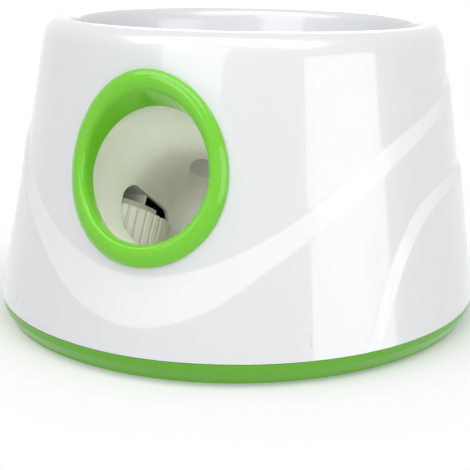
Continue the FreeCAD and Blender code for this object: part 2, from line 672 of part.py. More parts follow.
def involute_gear(teeth, thickness, bottom, first_angle, kept=None):
    """A spur gear, or with kept=(from, to) in degrees only the teeth there, with one tooth at first_angle."""
    pitch_radius = GEAR_MODULE * teeth / 2
    base_radius = pitch_radius * math.cos(math.radians(20))
    tip = pitch_radius + 0.92 * GEAR_MODULE
    root = pitch_radius - 1.2 * GEAR_MODULE

    def roll(r):
        """Angle that the involute has turned by radius r."""
        if r <= base_radius:
            return 0.0
        lean = math.acos(base_radius / r)
        return math.tan(lean) - lean

    half = (math.pi * GEAR_MODULE / 2 - BACKLASH / 2) / 2 / pitch_radius + roll(pitch_radius)
    radii = [max(root, base_radius) + (tip - max(root, base_radius)) * k / 4 for k in range(5)]

    def spot(r, a):
        return Vector(r * math.cos(a), r * math.sin(a), bottom)

    blank = cylinder(root + 0.01, bottom, bottom + thickness)
    solids = []
    for i in range(teeth):
        middle = first_angle + 2 * math.pi * i / teeth
        degrees = math.degrees(middle) % 360
        if kept and not kept[0] <= degrees <= kept[1]:
            continue
        left = [spot(r, middle + half - roll(r)) for r in radii]
        right = [spot(r, middle - half + roll(r)) for r in radii]
        inner = root - 0.6
        a_left, a_right = spot(inner, middle + half), spot(inner, middle - half)
        flank_left, flank_right = Part.BSplineCurve(), Part.BSplineCurve()
        flank_left.interpolate(left)
        flank_right.interpolate(right[::-1])
        wire = Part.Wire([line(a_left, left[0]), flank_left.toShape(),
                          Part.Arc(left[-1], spot(tip, middle), right[-1]).toShape(), flank_right.toShape(),
                          line(right[0], a_right), line(a_right, a_left)])
        solids.append(Part.Face(wire).extrude(Vector(0, 0, thickness)))
    return blank, solids


def gate_blade():
    """The swinging finger that the waiting ball sits on, with a toothed sector on its far side."""
    top = GATE_Z + GATE_THICKNESS
    blank, teeth = involute_gear(GATE_TEETH, GATE_THICKNESS, GATE_Z, math.radians(90), (14, 106))
    sector = fused(blank, *teeth)
    wedge_points = [Vector(0, 0, GATE_Z)]
    for degrees in (8, 40, 76, 112):
        t = math.radians(degrees)
        wedge_points.append(Vector(34 * math.cos(t), 34 * math.sin(t), GATE_Z))
    wedge = Part.Face(polygon(wedge_points)).extrude(Vector(0, 0, GATE_THICKNESS))
    sector = moved(sector.common(wedge), *GATE_PIVOT)
    hub = cylinder(8, GATE_Z, top, *GATE_PIVOT)
    pad = cylinder(GATE_FINGER, GATE_Z, top, *THROAT_AT)
    arm = box((0, -5.5, GATE_Z), (GATE_REACH, 5.5, top))
    to_hole = math.atan2(THROAT_AT[1] - GATE_PIVOT[1], THROAT_AT[0] - GATE_PIVOT[0])
    arm.rotate(Vector(0, 0, 0), Vector(0, 0, 1), math.degrees(to_hole))
    arm = moved(arm, *GATE_PIVOT)
    blade = fused(sector, hub, pad, arm)
    return blade.cut(cylinder(2.05, GATE_Z - 1, top + 1, *GATE_PIVOT))


def gate_pivot_pin():
    """A headed pin through the flange that the blade turns on, with a retaining washer on top."""
    top = GATE_Z + GATE_THICKNESS + 0.5
    pin = revolved([(0, PLATE[0] - 1.6), (3.6, PLATE[0] - 1.6), (3.6, PLATE[0]), (2.0, PLATE[0]), (2.0, top),
                    (4.0, top), (4.0, top + 0.9), (0, top + 0.9)])
    return moved(pin, *GATE_PIVOT)


def gate_pinion():
    turn = math.radians(-90) + math.pi / PINION_TEETH
    blank, teeth = involute_gear(PINION_TEETH, GATE_THICKNESS + 1.0, GATE_Z - 0.2, turn)
    bore = cylinder(2.0, GATE_Z - 2, GATE_Z + 6)
    return moved(fused(blank, *teeth).cut(bore), *PINION_AT)


def gate_motor_shaft():
    return cylinder(2.0, PLATE[0] - 8, GATE_Z + 4.2, *PINION_AT)


def gate_gearmotor():
    """A round gearbox with its small motor below, hung under the flange."""
    body = revolved([(0, PLATE[0] - 46), (9.5, PLATE[0] - 46), (10, PLATE[0] - 45), (10, PLATE[0] - 18),
                     (GEARMOTOR_RADIUS, PLATE[0] - 18), (GEARMOTOR_RADIUS, PLATE[0]), (0, PLATE[0])])
    body = body.cut(cylinder(2.06, PLATE[0] - 9, PLATE[0] + 1))
    for x in (-GEARMOTOR_SCREW_X, GEARMOTOR_SCREW_X):
        body = body.cut(cylinder(SCREW_RADIUS - 0.2, PLATE[0] - 6, PLATE[0] + 1, x, 0))
    return moved(body, *PINION_AT)


def gate_motor_screws():
    made = []
    for x in (-GEARMOTOR_SCREW_X, GEARMOTOR_SCREW_X):
        one = screw(7, SCREW_RADIUS - 0.2, 2.2)
        one.rotate(Vector(0, 0, 0), Vector(1, 0, 0), 180)
        made.append(moved(one, PINION_AT[0] + x, PINION_AT[1], PLATE[1]))
    return made


def ball_sensors():
    """The infrared pair that sees a ball waiting in the throat."""
    made = []
    x, y = THROAT_AT
    for side in (-1, 1):
        lens = Part.makeCylinder(2.4, 4.5, Vector(x + side * (THROAT_RADIUS + 0.4), y, SENSOR_Z), Vector(side, 0, 0))
        edge = sorted((x + side * (THROAT_RADIUS + THROAT_WALL), x + side * (THROAT_RADIUS + THROAT_WALL + 8)))
        case = box((edge[0], y - 5, SENSOR_Z - 5), (edge[1], y + 5, SENSOR_Z + 5))
        made.append(lens.fuse(case))
    return made


# ---- the base pan -------------------------------------------------------------------------
FEET = [(38, 0.80), (142, 0.80), (218, 0.80), (322, 0.80)]
BOARD_AT = (-88.0, 0.0)
BOARD_SIZE = (62.0, 92.0)
BOARD_Z = 14.0


def board_posts():
    x, y = BOARD_AT
    dx, dy = BOARD_SIZE[0] / 2 - 5, BOARD_SIZE[1] / 2 - 5
    return [(x - dx, y - dy), (x + dx, y - dy), (x - dx, y + dy), (x + dx, y + dy)]


def base_pan():
    """The green floor: a dished tray with a lip inside the shell, ribs, pads and the battery opening."""
    lip = wall_radius(25, 1) - WALL - 0.5
    lip_foot = wall_radius(SHELL_FOOT_Z, 1) - WALL - 0.5
    edge = BASE_LENGTH / 2
    pan = oval(revolved([(0, PAN_UNDERSIDE), (edge - 8.5, PAN_UNDERSIDE), (edge - 6.4, PAN_UNDERSIDE + 1.2),
                         (edge - 1.0, 12.4), (edge - 0.4, SHELL_FOOT_Z - 0.3), (lip_foot, SHELL_FOOT_Z - 0.3),
                         (lip, 25), (lip - 2.4, 25), (lip_foot - 5.4, SHELL_FOOT_Z - 4), (edge - 10, FLOOR_TOP),
                         (0, FLOOR_TOP)]))
    extras = []
    for side in (-1, 1):
        for x, y in LEGS:
            extras.append(cylinder(9, FLOOR_TOP - 0.5, PAD_TOP, side * x, y))
    for x, y in board_posts():
        extras.append(cylinder(3, FLOOR_TOP - 0.5, BOARD_Z, x, y))
    for angle in CASE_SCREWS:
        x, y = plan_spot(angle, CASE_SCREW_SHARE)
        extras.append(cylinder(6.5, FLOOR_TOP - 0.5, SHELL_FOOT_Z + 8, x, y))
    ribs = []
    for i in range(12):
        rib = box((-1.1, 60, FLOOR_TOP - 0.5), (1.1, 186, FLOOR_TOP + 4.5))
        rib.rotate(Vector(0, 0, 0), Vector(0, 0, 1), 15 + 30 * i)
        ribs.append(rib)
    inside = oval(revolved([(0, 0), (edge - 9, 0), (edge - 9, 12), (0, 12)]))
    bay_x, bay_y, _ = BATTERY_BAY
    bay = box((-bay_x / 2 - 3, BATTERY_Y - bay_y / 2 - 3, 0), (bay_x / 2 + 3, BATTERY_Y + bay_y / 2 + 3, 60))
    keep_out = [bay, box((BOARD_AT[0] - 38, -52, 0), (BOARD_AT[0] + 38, 52, 40))]
    rib_set = fused(ribs[0], *ribs[1:]).common(inside)
    for block in keep_out:
        rib_set = rib_set.cut(block)
    pan = fused(pan, rib_set, *extras)
    pan = pan.cut(moved(rounded_slab(bay_x, bay_y, 4, 0, 40), 0, BATTERY_Y))
    pan = pan.cut(moved(rounded_slab(bay_x + 8, bay_y + 12, 5, 0, PAN_UNDERSIDE + 1.5), 0, BATTERY_Y))
    for side in (-1, 1):
        for x, y in LEGS:
            pan = pan.cut(cylinder(SCREW_RADIUS + 0.15, 0, 30, side * x, y))
            pan = pan.cut(cylinder(SCREW_HEAD_RADIUS + 0.5, 0, FLOOR_TOP - 0.3, side * x, y))
    for x, y in board_posts():
        pan = pan.cut(cylinder(SCREW_RADIUS - 0.2, FLOOR_TOP, BOARD_Z + 1, x, y))
    for angle in CASE_SCREWS:
        x, y = plan_spot(angle, CASE_SCREW_SHARE)
        pan = pan.cut(cylinder(SCREW_RADIUS + 0.15, 0, 40, x, y))
        pan = pan.cut(cylinder(SCREW_HEAD_RADIUS + 0.5, 0, CASE_HEAD_Z, x, y))
    for angle, share in FEET:
        x, y = plan_spot(angle, share)
        pan = pan.cut(cylinder(3.1, 0, 10, x, y))
    for row in range(5):
        slot = moved(rounded_slab(44, 2.6, 1.2, 0, 10), 0, -20 + 7 * row)
        pan = pan.cut(slot)
    return pan


CASE_HEAD_Z = 14.0


def case_screws():
    made = []
    for angle in CASE_SCREWS:
        x, y = plan_spot(angle, CASE_SCREW_SHARE)
        made.append(moved(screw(20, SCREW_RADIUS - 0.2), x, y, CASE_HEAD_Z))
    return made


def leg_screws():
    made = []
    for side in (-1, 1):
        for x, y in LEGS:
            made.append(moved(screw(10, SCREW_RADIUS - 0.2), side * x, y, FLOOR_TOP - 0.3))
    return made


def rubber_feet():
    """Four soft pads, each with a barbed peg pushed through the pan."""
    made = []
    for angle, share in FEET:
        x, y = plan_spot(angle, share)
        pad = revolved([(0, 0), (FOOT_RADIUS - 1, 0), (FOOT_RADIUS, 0.8), (FOOT_RADIUS, PAN_UNDERSIDE), (3.0, PAN_UNDERSIDE),
                        (3.0, FLOOR_TOP + 0.1), (4.4, FLOOR_TOP + 0.4), (2.2, FLOOR_TOP + 3), (0, FLOOR_TOP + 3)])
        made.append(moved(pad, x, y))
    return made


# ---- battery bay --------------------------------------------------------------------------
def battery_tray():
    """An upside-down box over the floor opening, with a divider between its two rows of cells."""
    bay_x, bay_y, bay_z = BATTERY_BAY
    wall = 2.0
    outer = rounded_slab(bay_x + 2 * wall + 0.2, bay_y + 2 * wall + 0.2, 5, FLOOR_TOP, FLOOR_TOP + bay_z)
    inner = rounded_slab(bay_x + 0.2, bay_y + 0.2, 4, FLOOR_TOP - 1, FLOOR_TOP + bay_z - wall)
    divider = box((-bay_x / 2 + 8, -0.9, FLOOR_TOP + 9), (bay_x / 2 - 8, 0.9, FLOOR_TOP + bay_z - wall))
    return moved(fused(outer.cut(inner), divider), 0, BATTERY_Y)


def battery_door():
    """A flat door in the pan's recess, with a finger notch."""
    bay_x, bay_y, _ = BATTERY_BAY
    door = rounded_slab(bay_x + 7.2, bay_y + 11.2, 4.6, PAN_UNDERSIDE, PAN_UNDERSIDE + 1.45)
    notch = moved(rounded_slab(22, 5, 2.4, 0, PAN_UNDERSIDE + 0.7), 0, -bay_y / 2 + 2)
    tabs = [box((x - 6, bay_y / 2 - 4, PAN_UNDERSIDE + 1.4), (x + 6, bay_y / 2 - 2, PAN_UNDERSIDE + 6)) for x in (-45, 45)]
    return moved(fused(door, *tabs).cut(notch), 0, BATTERY_Y)


def battery_contacts():
    """A flat contact at one end of each row of cells and a conical spring at the other."""
    bay_x, bay_y, _ = BATTERY_BAY
    made = []
    z = FLOOR_TOP + 15
    for row in (-1, 1):
        y = BATTERY_Y + row * bay_y / 4
        for side in (-1, 1):
            edge = sorted((side * (bay_x / 2 + 0.05), side * (bay_x / 2 - 0.55)))
            plate = box((edge[0], y - 9, z - 9), (edge[1], y + 9, z + 9))
            if side == row:
                spring = Part.makeCone(7.0, 4.0, 9.0, Vector(edge[0] if side > 0 else edge[1], y, z), Vector(-side, 0, 0))
                plate = plate.fuse(spring)
            made.append(plate)
    return made


# ---- electronics --------------------------------------------------------------------------
def main_board():
    board = rounded_slab(BOARD_SIZE[0], BOARD_SIZE[1], 2, BOARD_Z, BOARD_Z + 1.6)
    board = moved(board, *BOARD_AT)
    for x, y in board_posts():
        board = board.cut(cylinder(SCREW_RADIUS + 0.1, 0, 30, x, y))
    return board


def board_components():
    """Capacitors, power transistors on a finned sink, controller, connectors and the beeper."""
    x, y = BOARD_AT
    z = BOARD_Z + 1.6
    made = [cylinder(6.5, z, z + 18, x - 16, y - 28), cylinder(5.0, z, z + 13, x - 16, y - 14),
            tube(1.2, 6.0, z, z + 8, x + 16, y + 30), box((x - 8, y + 2, z), (x + 4, y + 14, z + 1.4))]
    sink = box((x + 4, y - 32, z), (x + 7, y - 6, z + 20))
    for i in range(5):
        sink = sink.fuse(box((x + 7, y - 32 + 6 * i, z), (x + 15, y - 30 + 6 * i, z + 20)))
    made.append(sink)
    for i in range(3):
        made.append(box((x - 25, y + 6 + 11 * i, z), (x - 19, y + 14 + 11 * i, z + 7)))
    return made


def board_screws():
    made = []
    for x, y in board_posts():
        one = screw(8, SCREW_RADIUS - 0.2)
        one.rotate(Vector(0, 0, 0), Vector(1, 0, 0), 180)
        made.append(moved(one, x, y, BOARD_Z + 1.6))
    return made


# ---- rear control panel -------------------------------------------------------------------
PANEL_WIDTH = 78.0
PANEL_HEIGHT = 34.0
PANEL_SLOPE = math.atan((wall_radius(PANEL_Z - 10, 2) - wall_radius(PANEL_Z + 10, 2)) / 20)
PANEL_FRAME = Placement(Vector(0, wall_radius(PANEL_Z, 2), PANEL_Z),
                        Rotation(Vector(1, 0, 0), -90 + math.degrees(PANEL_SLOPE)))
PANEL_PROUD = 1.0
PANEL_DEEP = 2.4
POWER_AT = (-22.0, -1.0)
RANGE_AT = (6.0, -1.0)
JACK_AT = (29.0, -1.0)
BUTTON_RADIUS = 8.5
LAMPS_AT = [(-1.0, 12.0), (6.0, 12.0), (13.0, 12.0)]
BUTTON_BOARD_Z = -14.0
BOARD_POSTS_AT = [(-29.0, 13.0), (17.0, -8.0)]


def sag(x):
    """How far the panel's curved face falls back at x from its middle."""
    return (x ** 2) / (2 * WIDTH_RATIO ** 2 * wall_radius(PANEL_Z, 2))


def panel_prism(grow=0.0):
    """The rounded outline of the panel, run through the rear wall."""
    slab = rounded_slab(PANEL_WIDTH + 2 * grow, PANEL_HEIGHT + 2 * grow, PANEL_HEIGHT / 2 + grow - 0.5, -30, 20)
    return placed(slab, PANEL_FRAME)


def level_form(grow):
    """The lowest wall level as a plain oval cone, grown or shrunk."""
    low, high = 40.0, 120.0
    return oval(revolved([(0, low), (wall_radius(low, 2) + grow, low), (wall_radius(high, 2) + grow, high), (0, high)]))


def control_panel():
    """A curved insert in the rear wall, with bores for the two buttons, lamps and the power socket."""
    flange = panel_prism(3.0).common(level_form(-WALL - 0.1)).cut(level_form(-WALL - 2.1))
    panel = panel_prism().common(level_form(PANEL_PROUD)).cut(level_form(-WALL - 2.1))
    posts = [placed(cylinder(2.0, BUTTON_BOARD_Z, -WALL - 2.0, x, y), PANEL_FRAME) for x, y in BOARD_POSTS_AT]
    panel = fused(panel, flange, *posts)
    holes = [(POWER_AT, BUTTON_RADIUS + 0.35), (RANGE_AT, BUTTON_RADIUS + 0.35), (JACK_AT, 5.6)]
    holes += [(lamp, 2.1) for lamp in LAMPS_AT]
    for (x, y), r in holes:
        panel = panel.cut(placed(cylinder(r, -40, 20, x, y), PANEL_FRAME))
    return panel


def button(at, dished):
    """A push button with a retaining flange behind the panel."""
    x, y = at
    face = PANEL_PROUD + 2.2 - sag(abs(x) - BUTTON_RADIUS)
    back = -WALL - 3.2 - sag(abs(x) + BUTTON_RADIUS)
    cap = revolved([(0, back - 3), (2.5, back - 3), (2.5, back - 1.6), (BUTTON_RADIUS + 1.6, back - 1.6),
                    (BUTTON_RADIUS + 1.6, back), (BUTTON_RADIUS, back), (BUTTON_RADIUS, face - 1.0),
                    (BUTTON_RADIUS - 1.0, face), (0, face)])
    if dished:
        cap = cap.cut(Part.makeSphere(30, Vector(0, 0, face + 29.2)))
    else:
        cap = cap.cut(tube(2.6, 3.6, face - 0.4, face + 1))
    return placed(moved(cap, x, y), PANEL_FRAME)


def indicator_lenses():
    made = []
    for x, y in LAMPS_AT:
        face = PANEL_PROUD + 0.5 - sag(x)
        lens = revolved([(0, BUTTON_BOARD_Z + 4), (2.0, BUTTON_BOARD_Z + 4), (2.0, face - 0.5), (1.4, face), (0, face)])
        made.append(placed(moved(lens, x, y), PANEL_FRAME))
    return made


def dc_jack():
    """The barrel socket for the mains adaptor: a moulded body behind the panel with a centre pin."""
    x, y = JACK_AT
    face = PANEL_PROUD - sag(x) - 0.6
    shoulder = -WALL - 2.2 - sag(x + 6.8)
    body = revolved([(0, -18), (6.8, -18), (6.8, shoulder), (5.5, shoulder), (5.5, face), (4.6, face), (4.6, -14),
                     (1.05, -14), (1.05, face - 1), (0, face - 1)])
    return placed(moved(body, x, y), PANEL_FRAME)


def button_board():
    """The small board behind the panel, with a key switch under each button and a lamp under each lens."""
    z = BUTTON_BOARD_Z
    board = box((-34, -10, z - 1.6), (19, 15.5, z))
    parts = [board]
    for x, y in (POWER_AT, RANGE_AT):
        back = -WALL - 3.2 - sag(abs(x) + BUTTON_RADIUS) - 3 - 2.0
        parts.append(box((x - 3, y - 3, z - 0.2), (x + 3, y + 3, back - 0.15)))
    for x, y in LAMPS_AT:
        parts.append(cylinder(1.9, z - 0.2, z + 3.9, x, y))
    return placed(fused(*parts), PANEL_FRAME)


# ---- build --------------------------------------------------------------------------------
def main():
    os.makedirs("parts", exist_ok=True)
    outside = body_form(0)
    cavity = body_form(WALL).cut(bowl_opening(WALL, SKIRT_FOOT[1], SKIRT_FOOT[0] + WALL))
    clear_inside = body_form(WALL + 0.8)

    export("outer_shell", outer_shell(outside, cavity))
    export("port_ring", port_ring(outside))
    export("hopper_bowl", hopper_bowl())
    export("hopper_screws", *bowl_screws())
    export("launch_tube_upper", launch_tube_upper(clear_inside))
    export("launch_tube_lower", launch_tube_lower(clear_inside))
    export("tube_screws", *tube_screws())
    for side, name in ((-1, "left"), (1, "right")):
        export(name + "_wheel_tread", tread(side))
        export(name + "_wheel_hub", wheel_hub(side))
        export(name + "_motor_shaft", motor_shaft(side))
        export(name + "_motor_can", motor_can(side))
        export(name + "_motor_endcap", motor_endcap(side))
        export(name + "_motor_bracket", motor_bracket(side))
    export("bracket_screws", *bracket_screws())
    export("feed_throat", feed_throat())
    export("gate_blade", gate_blade())
    export("gate_pivot_pin", gate_pivot_pin())
    export("gate_pinion", gate_pinion())
    export("gate_motor_shaft", gate_motor_shaft())
    export("gate_gearmotor", gate_gearmotor())
    export("gate_motor_screws", *gate_motor_screws())
    export("ball_sensors", *ball_sensors())
    export("base_pan", base_pan())
    export("case_screws", *case_screws())
    export("leg_screws", *leg_screws())
    export("rubber_feet", *rubber_feet())
    export("battery_tray", battery_tray())
    export("battery_door", battery_door())
    export("battery_contacts", *battery_contacts())
    export("main_board", main_board())
    export("board_components", *board_components())
    export("board_screws", *board_screws())
    export("control_panel", control_panel())
    export("power_button", button(POWER_AT, True))
    export("range_button", button(RANGE_AT, False))
    export("indicator_lenses", *indicator_lenses())
    export("dc_jack", dc_jack())
    export("button_board", button_board())


main()
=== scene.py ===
import bpy
import math
from mathutils import Matrix, Vector


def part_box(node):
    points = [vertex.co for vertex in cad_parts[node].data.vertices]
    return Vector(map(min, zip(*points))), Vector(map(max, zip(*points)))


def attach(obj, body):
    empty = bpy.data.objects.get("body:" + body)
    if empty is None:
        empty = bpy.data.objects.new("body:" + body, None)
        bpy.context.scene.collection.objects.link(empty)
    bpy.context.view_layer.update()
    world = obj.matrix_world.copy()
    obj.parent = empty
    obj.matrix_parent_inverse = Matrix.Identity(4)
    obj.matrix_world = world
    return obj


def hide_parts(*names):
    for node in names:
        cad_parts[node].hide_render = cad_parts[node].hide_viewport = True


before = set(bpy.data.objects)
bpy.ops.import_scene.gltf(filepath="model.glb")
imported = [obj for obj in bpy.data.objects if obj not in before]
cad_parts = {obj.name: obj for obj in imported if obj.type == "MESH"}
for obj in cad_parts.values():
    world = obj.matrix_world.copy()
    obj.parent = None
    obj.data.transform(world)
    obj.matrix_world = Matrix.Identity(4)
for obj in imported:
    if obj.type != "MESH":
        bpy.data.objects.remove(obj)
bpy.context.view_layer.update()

# ---- outer shell --------------------------------------------------------------------------
# One glossy white moulding: side wall, rolled rim and the skirt inside it. Two shallow waves run
# round the wall, where each level steps in from the one below. The wall is 2.8 mm thick all over,
# with screw bosses inside. Case screws hold it to the base pan from below.
rim_height = 0.225
half_length = 0.204                  # of the shell's foot, along the launch direction
width_ratio = 370 / 408
foot_height = 0.018
roll_height = 0.210                  # where the wall starts to roll into the rim
crest_radius = 0.1506
skirt_top = (0.1426, 0.2140)         # half length, height
skirt_foot = (0.1400, 0.1990)
shell_wall = 0.0028
level_draft = (0.180, 0.180, 0.155)  # lean of the wall round the port, between the waves, and under the side wave
port_level_inset = 0.0032
skin_inset = 0.0014                  # the front's lower levels lie this far inside the plain cone
skin_rise = 0.035                    # height over which they draw in from the foot
front_wave_low = [(0, .036), (15, .048), (30, .079), (45, .109), (60, .136), (80, .160), (105, .177), (140, .188),
                  (180, .191)]
front_wave_high = [(0, .070), (15, .079), (30, .100), (45, .127), (60, .152), (80, .172), (105, .187), (140, .197),
                   (180, .200)]
side_wave_high = [(0, -.060), (20, -.052), (35, -.033), (46, -.003), (51, .024), (55, .053), (60, .082), (67, .105),
                  (78, .118), (95, .122), (135, .125), (180, .127)]
side_wave_turn, side_wave_drop = 2.4, 0.010
wave_softness = 0.0009               # half the width over which a wave's edges are rounded


def eased(t):
    """0 to 1 as t goes from 0 to 1, with a smooth start and end."""
    t = min(1.0, max(0.0, t))
    return t * t * (3 - 2 * t)


def wave_edge(edge, angle):
    """Height at an angle, in degrees from the port, on the smooth curve through an edge's points."""
    i = max(k for k in range(len(edge) - 1) if edge[k][0] <= angle)

    def slope(k):
        if k in (0, len(edge) - 1):
            return 0.0
        return (edge[k + 1][1] - edge[k - 1][1]) / (edge[k + 1][0] - edge[k - 1][0])

    (a0, z0), (a1, z1) = edge[i], edge[i + 1]
    t, run = (angle - a0) / (a1 - a0), a1 - a0
    return ((1 + 2 * t) * (1 - t) ** 2 * z0 + t * (1 - t) ** 2 * run * slope(i)
            + t * t * (3 - 2 * t) * z1 - t * t * (1 - t) * run * slope(i + 1))


def side_wave_low(angle):
    turned = max(0.0, angle - side_wave_turn * math.sin(math.radians(angle)))
    return wave_edge(side_wave_high, turned) - side_wave_drop


def level_radius(level, z, angle=180.0):
    """Half length of one of the wall's levels; 0 is the level that the port is cut in."""
    inset = port_level_inset
    if level:
        inset = skin_inset * eased((z - foot_height) / skin_rise) * eased((140 - angle) / 40)
    return half_length - inset - level_draft[level] * (z - foot_height)


def wave_creases(angle):
    """Heights of the four wave edges at an angle, from the lowest up, with the level that each lies on."""
    return [(side_wave_low(angle), 2), (wave_edge(side_wave_high, angle), 1),
            (wave_edge(front_wave_low, angle), 1), (wave_edge(front_wave_high, angle), 0)]


def wall_radius(angle, z, soft=0.0):
    """Half length of the wall at an angle and height; soft rounds the edges of the waves over that height."""
    if soft:
        return (wall_radius(angle, z - soft) + 2 * wall_radius(angle, z) + wall_radius(angle, z + soft)) / 4
    creases = wave_creases(angle)
    if z <= creases[0][0]:
        return level_radius(2, z, angle)
    for (low, level), (high, next_level) in zip(creases, creases[1:]):
        if z <= high:
            start, end = level_radius(level, low, angle), level_radius(next_level, high, angle)
            return start + (end - start) * (z - low) / (high - low)
    return level_radius(0, z)


def bezier(a, b, c, d, steps):
    """Points of a cubic curve from a to d, without a itself."""
    points = []
    for i in range(1, steps + 1):
        t = i / steps
        u = 1 - t
        points.append(tuple(u ** 3 * p + 3 * u * u * t * q + 3 * u * t * t * r + t ** 3 * s
                            for p, q, r, s in zip(a, b, c, d)))
    return points


def wall_rows(angle):
    """(half length, height) of the wall's rows at an angle, from the foot to where the roll begins."""
    heights = [foot_height, foot_height + 0.0006]
    creases = wave_creases(angle)
    for n, (z, level) in enumerate(creases):
        nearby = wave_creases(angle + 0.5 if angle < 179 else angle - 0.5)[n][0]
        steepness = abs(nearby - z) / (math.radians(0.5) * half_length)
        soft = wave_softness * math.sqrt(1 + min(steepness, 4.0) ** 2)
        heights += [z - 2 * soft, z - soft, z, z + soft, z + 2 * soft]
        if n + 1 < len(creases):
            gap = creases[n + 1][0] - z
            heights += [z + gap * share for share in (0.35, 0.65)]
    heights += [(creases[-1][0] + roll_height) / 2, roll_height - 0.004]
    rows, previous = [], foot_height - 0.0002
    for z in heights:
        z = max(z, previous + 0.0002)
        previous = z
        rows.append((wall_radius(angle, z, wave_softness), z))
    return rows


def rim_rows():
    """(half length, height) over the rolled rim and down the skirt, and back up inside by the wall's thickness."""
    corner = (level_radius(0, roll_height), roll_height)
    rise = 0.55 * (rim_height - roll_height)
    over = bezier(corner, (corner[0] - level_draft[0] * rise, corner[1] + rise),
                  (crest_radius + 0.6 * (corner[0] - crest_radius), rim_height), (crest_radius, rim_height), 12)
    down = bezier(over[-1], (crest_radius - 0.6 * (crest_radius - skirt_top[0]), rim_height),
                  (skirt_top[0] + 0.0005, skirt_top[1] + 0.5 * (rim_height - skirt_top[1])), skirt_top, 8)
    skirt = [(skirt_top[0] + (skirt_foot[0] - skirt_top[0]) * t, skirt_top[1] + (skirt_foot[1] - skirt_top[1]) * t)
             for t in (0.3, 0.6, 0.9, 0.97, 1.0)]
    inside = [(skirt_foot[0] + shell_wall, skirt_foot[1]), (skirt_top[0] + shell_wall, skirt_top[1]),
              (crest_radius, rim_height - shell_wall),
              (corner[0] - shell_wall - 0.006, rim_height - shell_wall - 0.002),
              (corner[0] - shell_wall, roll_height)]
    return [corner] + over + down + skirt + inside


def smooth(piece, angle=38):
    """Merges a mesh's doubles, points its faces outwards, and shades it smooth but for edges sharper than angle."""
    bpy.ops.object.select_all(action="DESELECT")
    bpy.context.view_layer.objects.active = piece
    piece.select_set(True)
    bpy.ops.object.mode_set(mode="EDIT")
    bpy.ops.mesh.select_all(action="SELECT")
    bpy.ops.mesh.remove_doubles(threshold=0.00001)
    bpy.ops.mesh.delete_loose()
    bpy.ops.mesh.select_all(action="SELECT")
    bpy.ops.mesh.normals_make_consistent(inside=False)
    bpy.ops.object.mode_set(mode="OBJECT")
    bpy.ops.object.shade_smooth_by_angle(angle=math.radians(angle))


shell_steps = 360
rim = rim_rows()


def shell_section(degrees):
    angle = degrees if degrees <= 180 else 360 - degrees
    outer = wall_rows(angle)
    inner = [(r - shell_wall, z) for r, z in outer[::-1]]
    turn = math.radians(degrees)
    return [Vector((width_ratio * r * math.sin(turn), -r * math.cos(turn), z)) for r, z in outer + rim + inner]


def rolled_sheet(name, steps, section):
    """A closed ring from a flat grid: a vertex's x says its angle and its y which point of that angle's section."""
    rows = len(section(0.0))
    bpy.ops.object.select_all(action="DESELECT")
    bpy.ops.mesh.primitive_grid_add(x_subdivisions=steps, y_subdivisions=rows, size=1)
    piece = bpy.context.object
    piece.name = name
    sections = [section(360.0 * i / steps) for i in range(steps)]
    for vertex in piece.data.vertices:
        i = round((vertex.co.x + 0.5) * steps) % steps
        j = round((vertex.co.y + 0.5) * rows) % rows
        vertex.co = sections[i][j]
    return piece


def cut_away(piece, cutter, keep="DIFFERENCE"):
    """Cuts cutter's solid from piece, or with INTERSECT all that is outside it, and deletes it."""
    cut = piece.modifiers.new("cut", "BOOLEAN")
    cut.operation, cut.object, cut.solver = keep, cutter, "EXACT"
    bpy.ops.object.select_all(action="DESELECT")
    bpy.context.view_layer.objects.active = piece
    bpy.ops.object.modifier_apply(modifier="cut")
    bpy.data.objects.remove(cutter)


def rod(radius, low, high, place=(0, 0), steps=32):
    """An upright cylinder between two heights."""
    bpy.ops.object.select_all(action="DESELECT")
    bpy.ops.mesh.primitive_cylinder_add(vertices=steps, radius=radius, depth=high - low)
    made = bpy.context.object
    made.data.transform(Matrix.Translation((place[0], place[1], (low + high) / 2)))
    return made


def rounded_block(low, high, axis=2, corner=0.0):
    """A block between two corners, with the edges that run along an axis rounded."""
    bpy.ops.object.select_all(action="DESELECT")
    bpy.ops.mesh.primitive_cube_add(size=1)
    made = bpy.context.object
    low, high = Vector(low), Vector(high)
    made.data.transform(Matrix.Translation((low + high) / 2) @ Matrix.Diagonal((*(high - low), 1)))
    if corner:
        bpy.ops.object.mode_set(mode="EDIT")
        bpy.ops.mesh.select_all(action="DESELECT")
        bpy.ops.object.mode_set(mode="OBJECT")
        for edge in made.data.edges:
            a, b = (made.data.vertices[v].co for v in edge.vertices)
            edge.select = abs((b - a)[axis]) > 0.9 * (b - a).length
        bpy.ops.object.mode_set(mode="EDIT")
        bpy.ops.mesh.select_mode(type="EDGE")
        bpy.ops.mesh.bevel(offset=corner, segments=10)
        bpy.ops.object.mode_set(mode="OBJECT")
    return made


def join(piece, parts):
    """Makes parts a portion of piece's own mesh."""
    bpy.ops.object.select_all(action="DESELECT")
    for part in parts:
        part.select_set(True)
    piece.select_set(True)
    bpy.context.view_layer.objects.active = piece
    bpy.ops.object.join()


shell = rolled_sheet("shell", shell_steps, shell_section)

# the port is cut along the launch tube, an oval prism that its ring covers
tube_tilt = math.radians(30)
port_height = 0.136
port_half_width, port_half_height, port_lift = 0.0464, 0.0492, 0.001
port_room = 0.0005                   # round the ring's sleeve
port = Vector((0, -level_radius(0, port_height), port_height))
tube_matrix = Matrix.Translation(port) @ Matrix.Rotation(math.pi / 2 - tube_tilt, 4, "X")

port_cutter = rod(1, -0.08, 0.08, steps=128)
port_cutter.data.transform(tube_matrix @ Matrix.Translation((0, port_lift, 0))
                           @ Matrix.Diagonal((port_half_width + port_room, port_half_height + port_room, 1, 1)))
cut_away(shell, port_cutter)

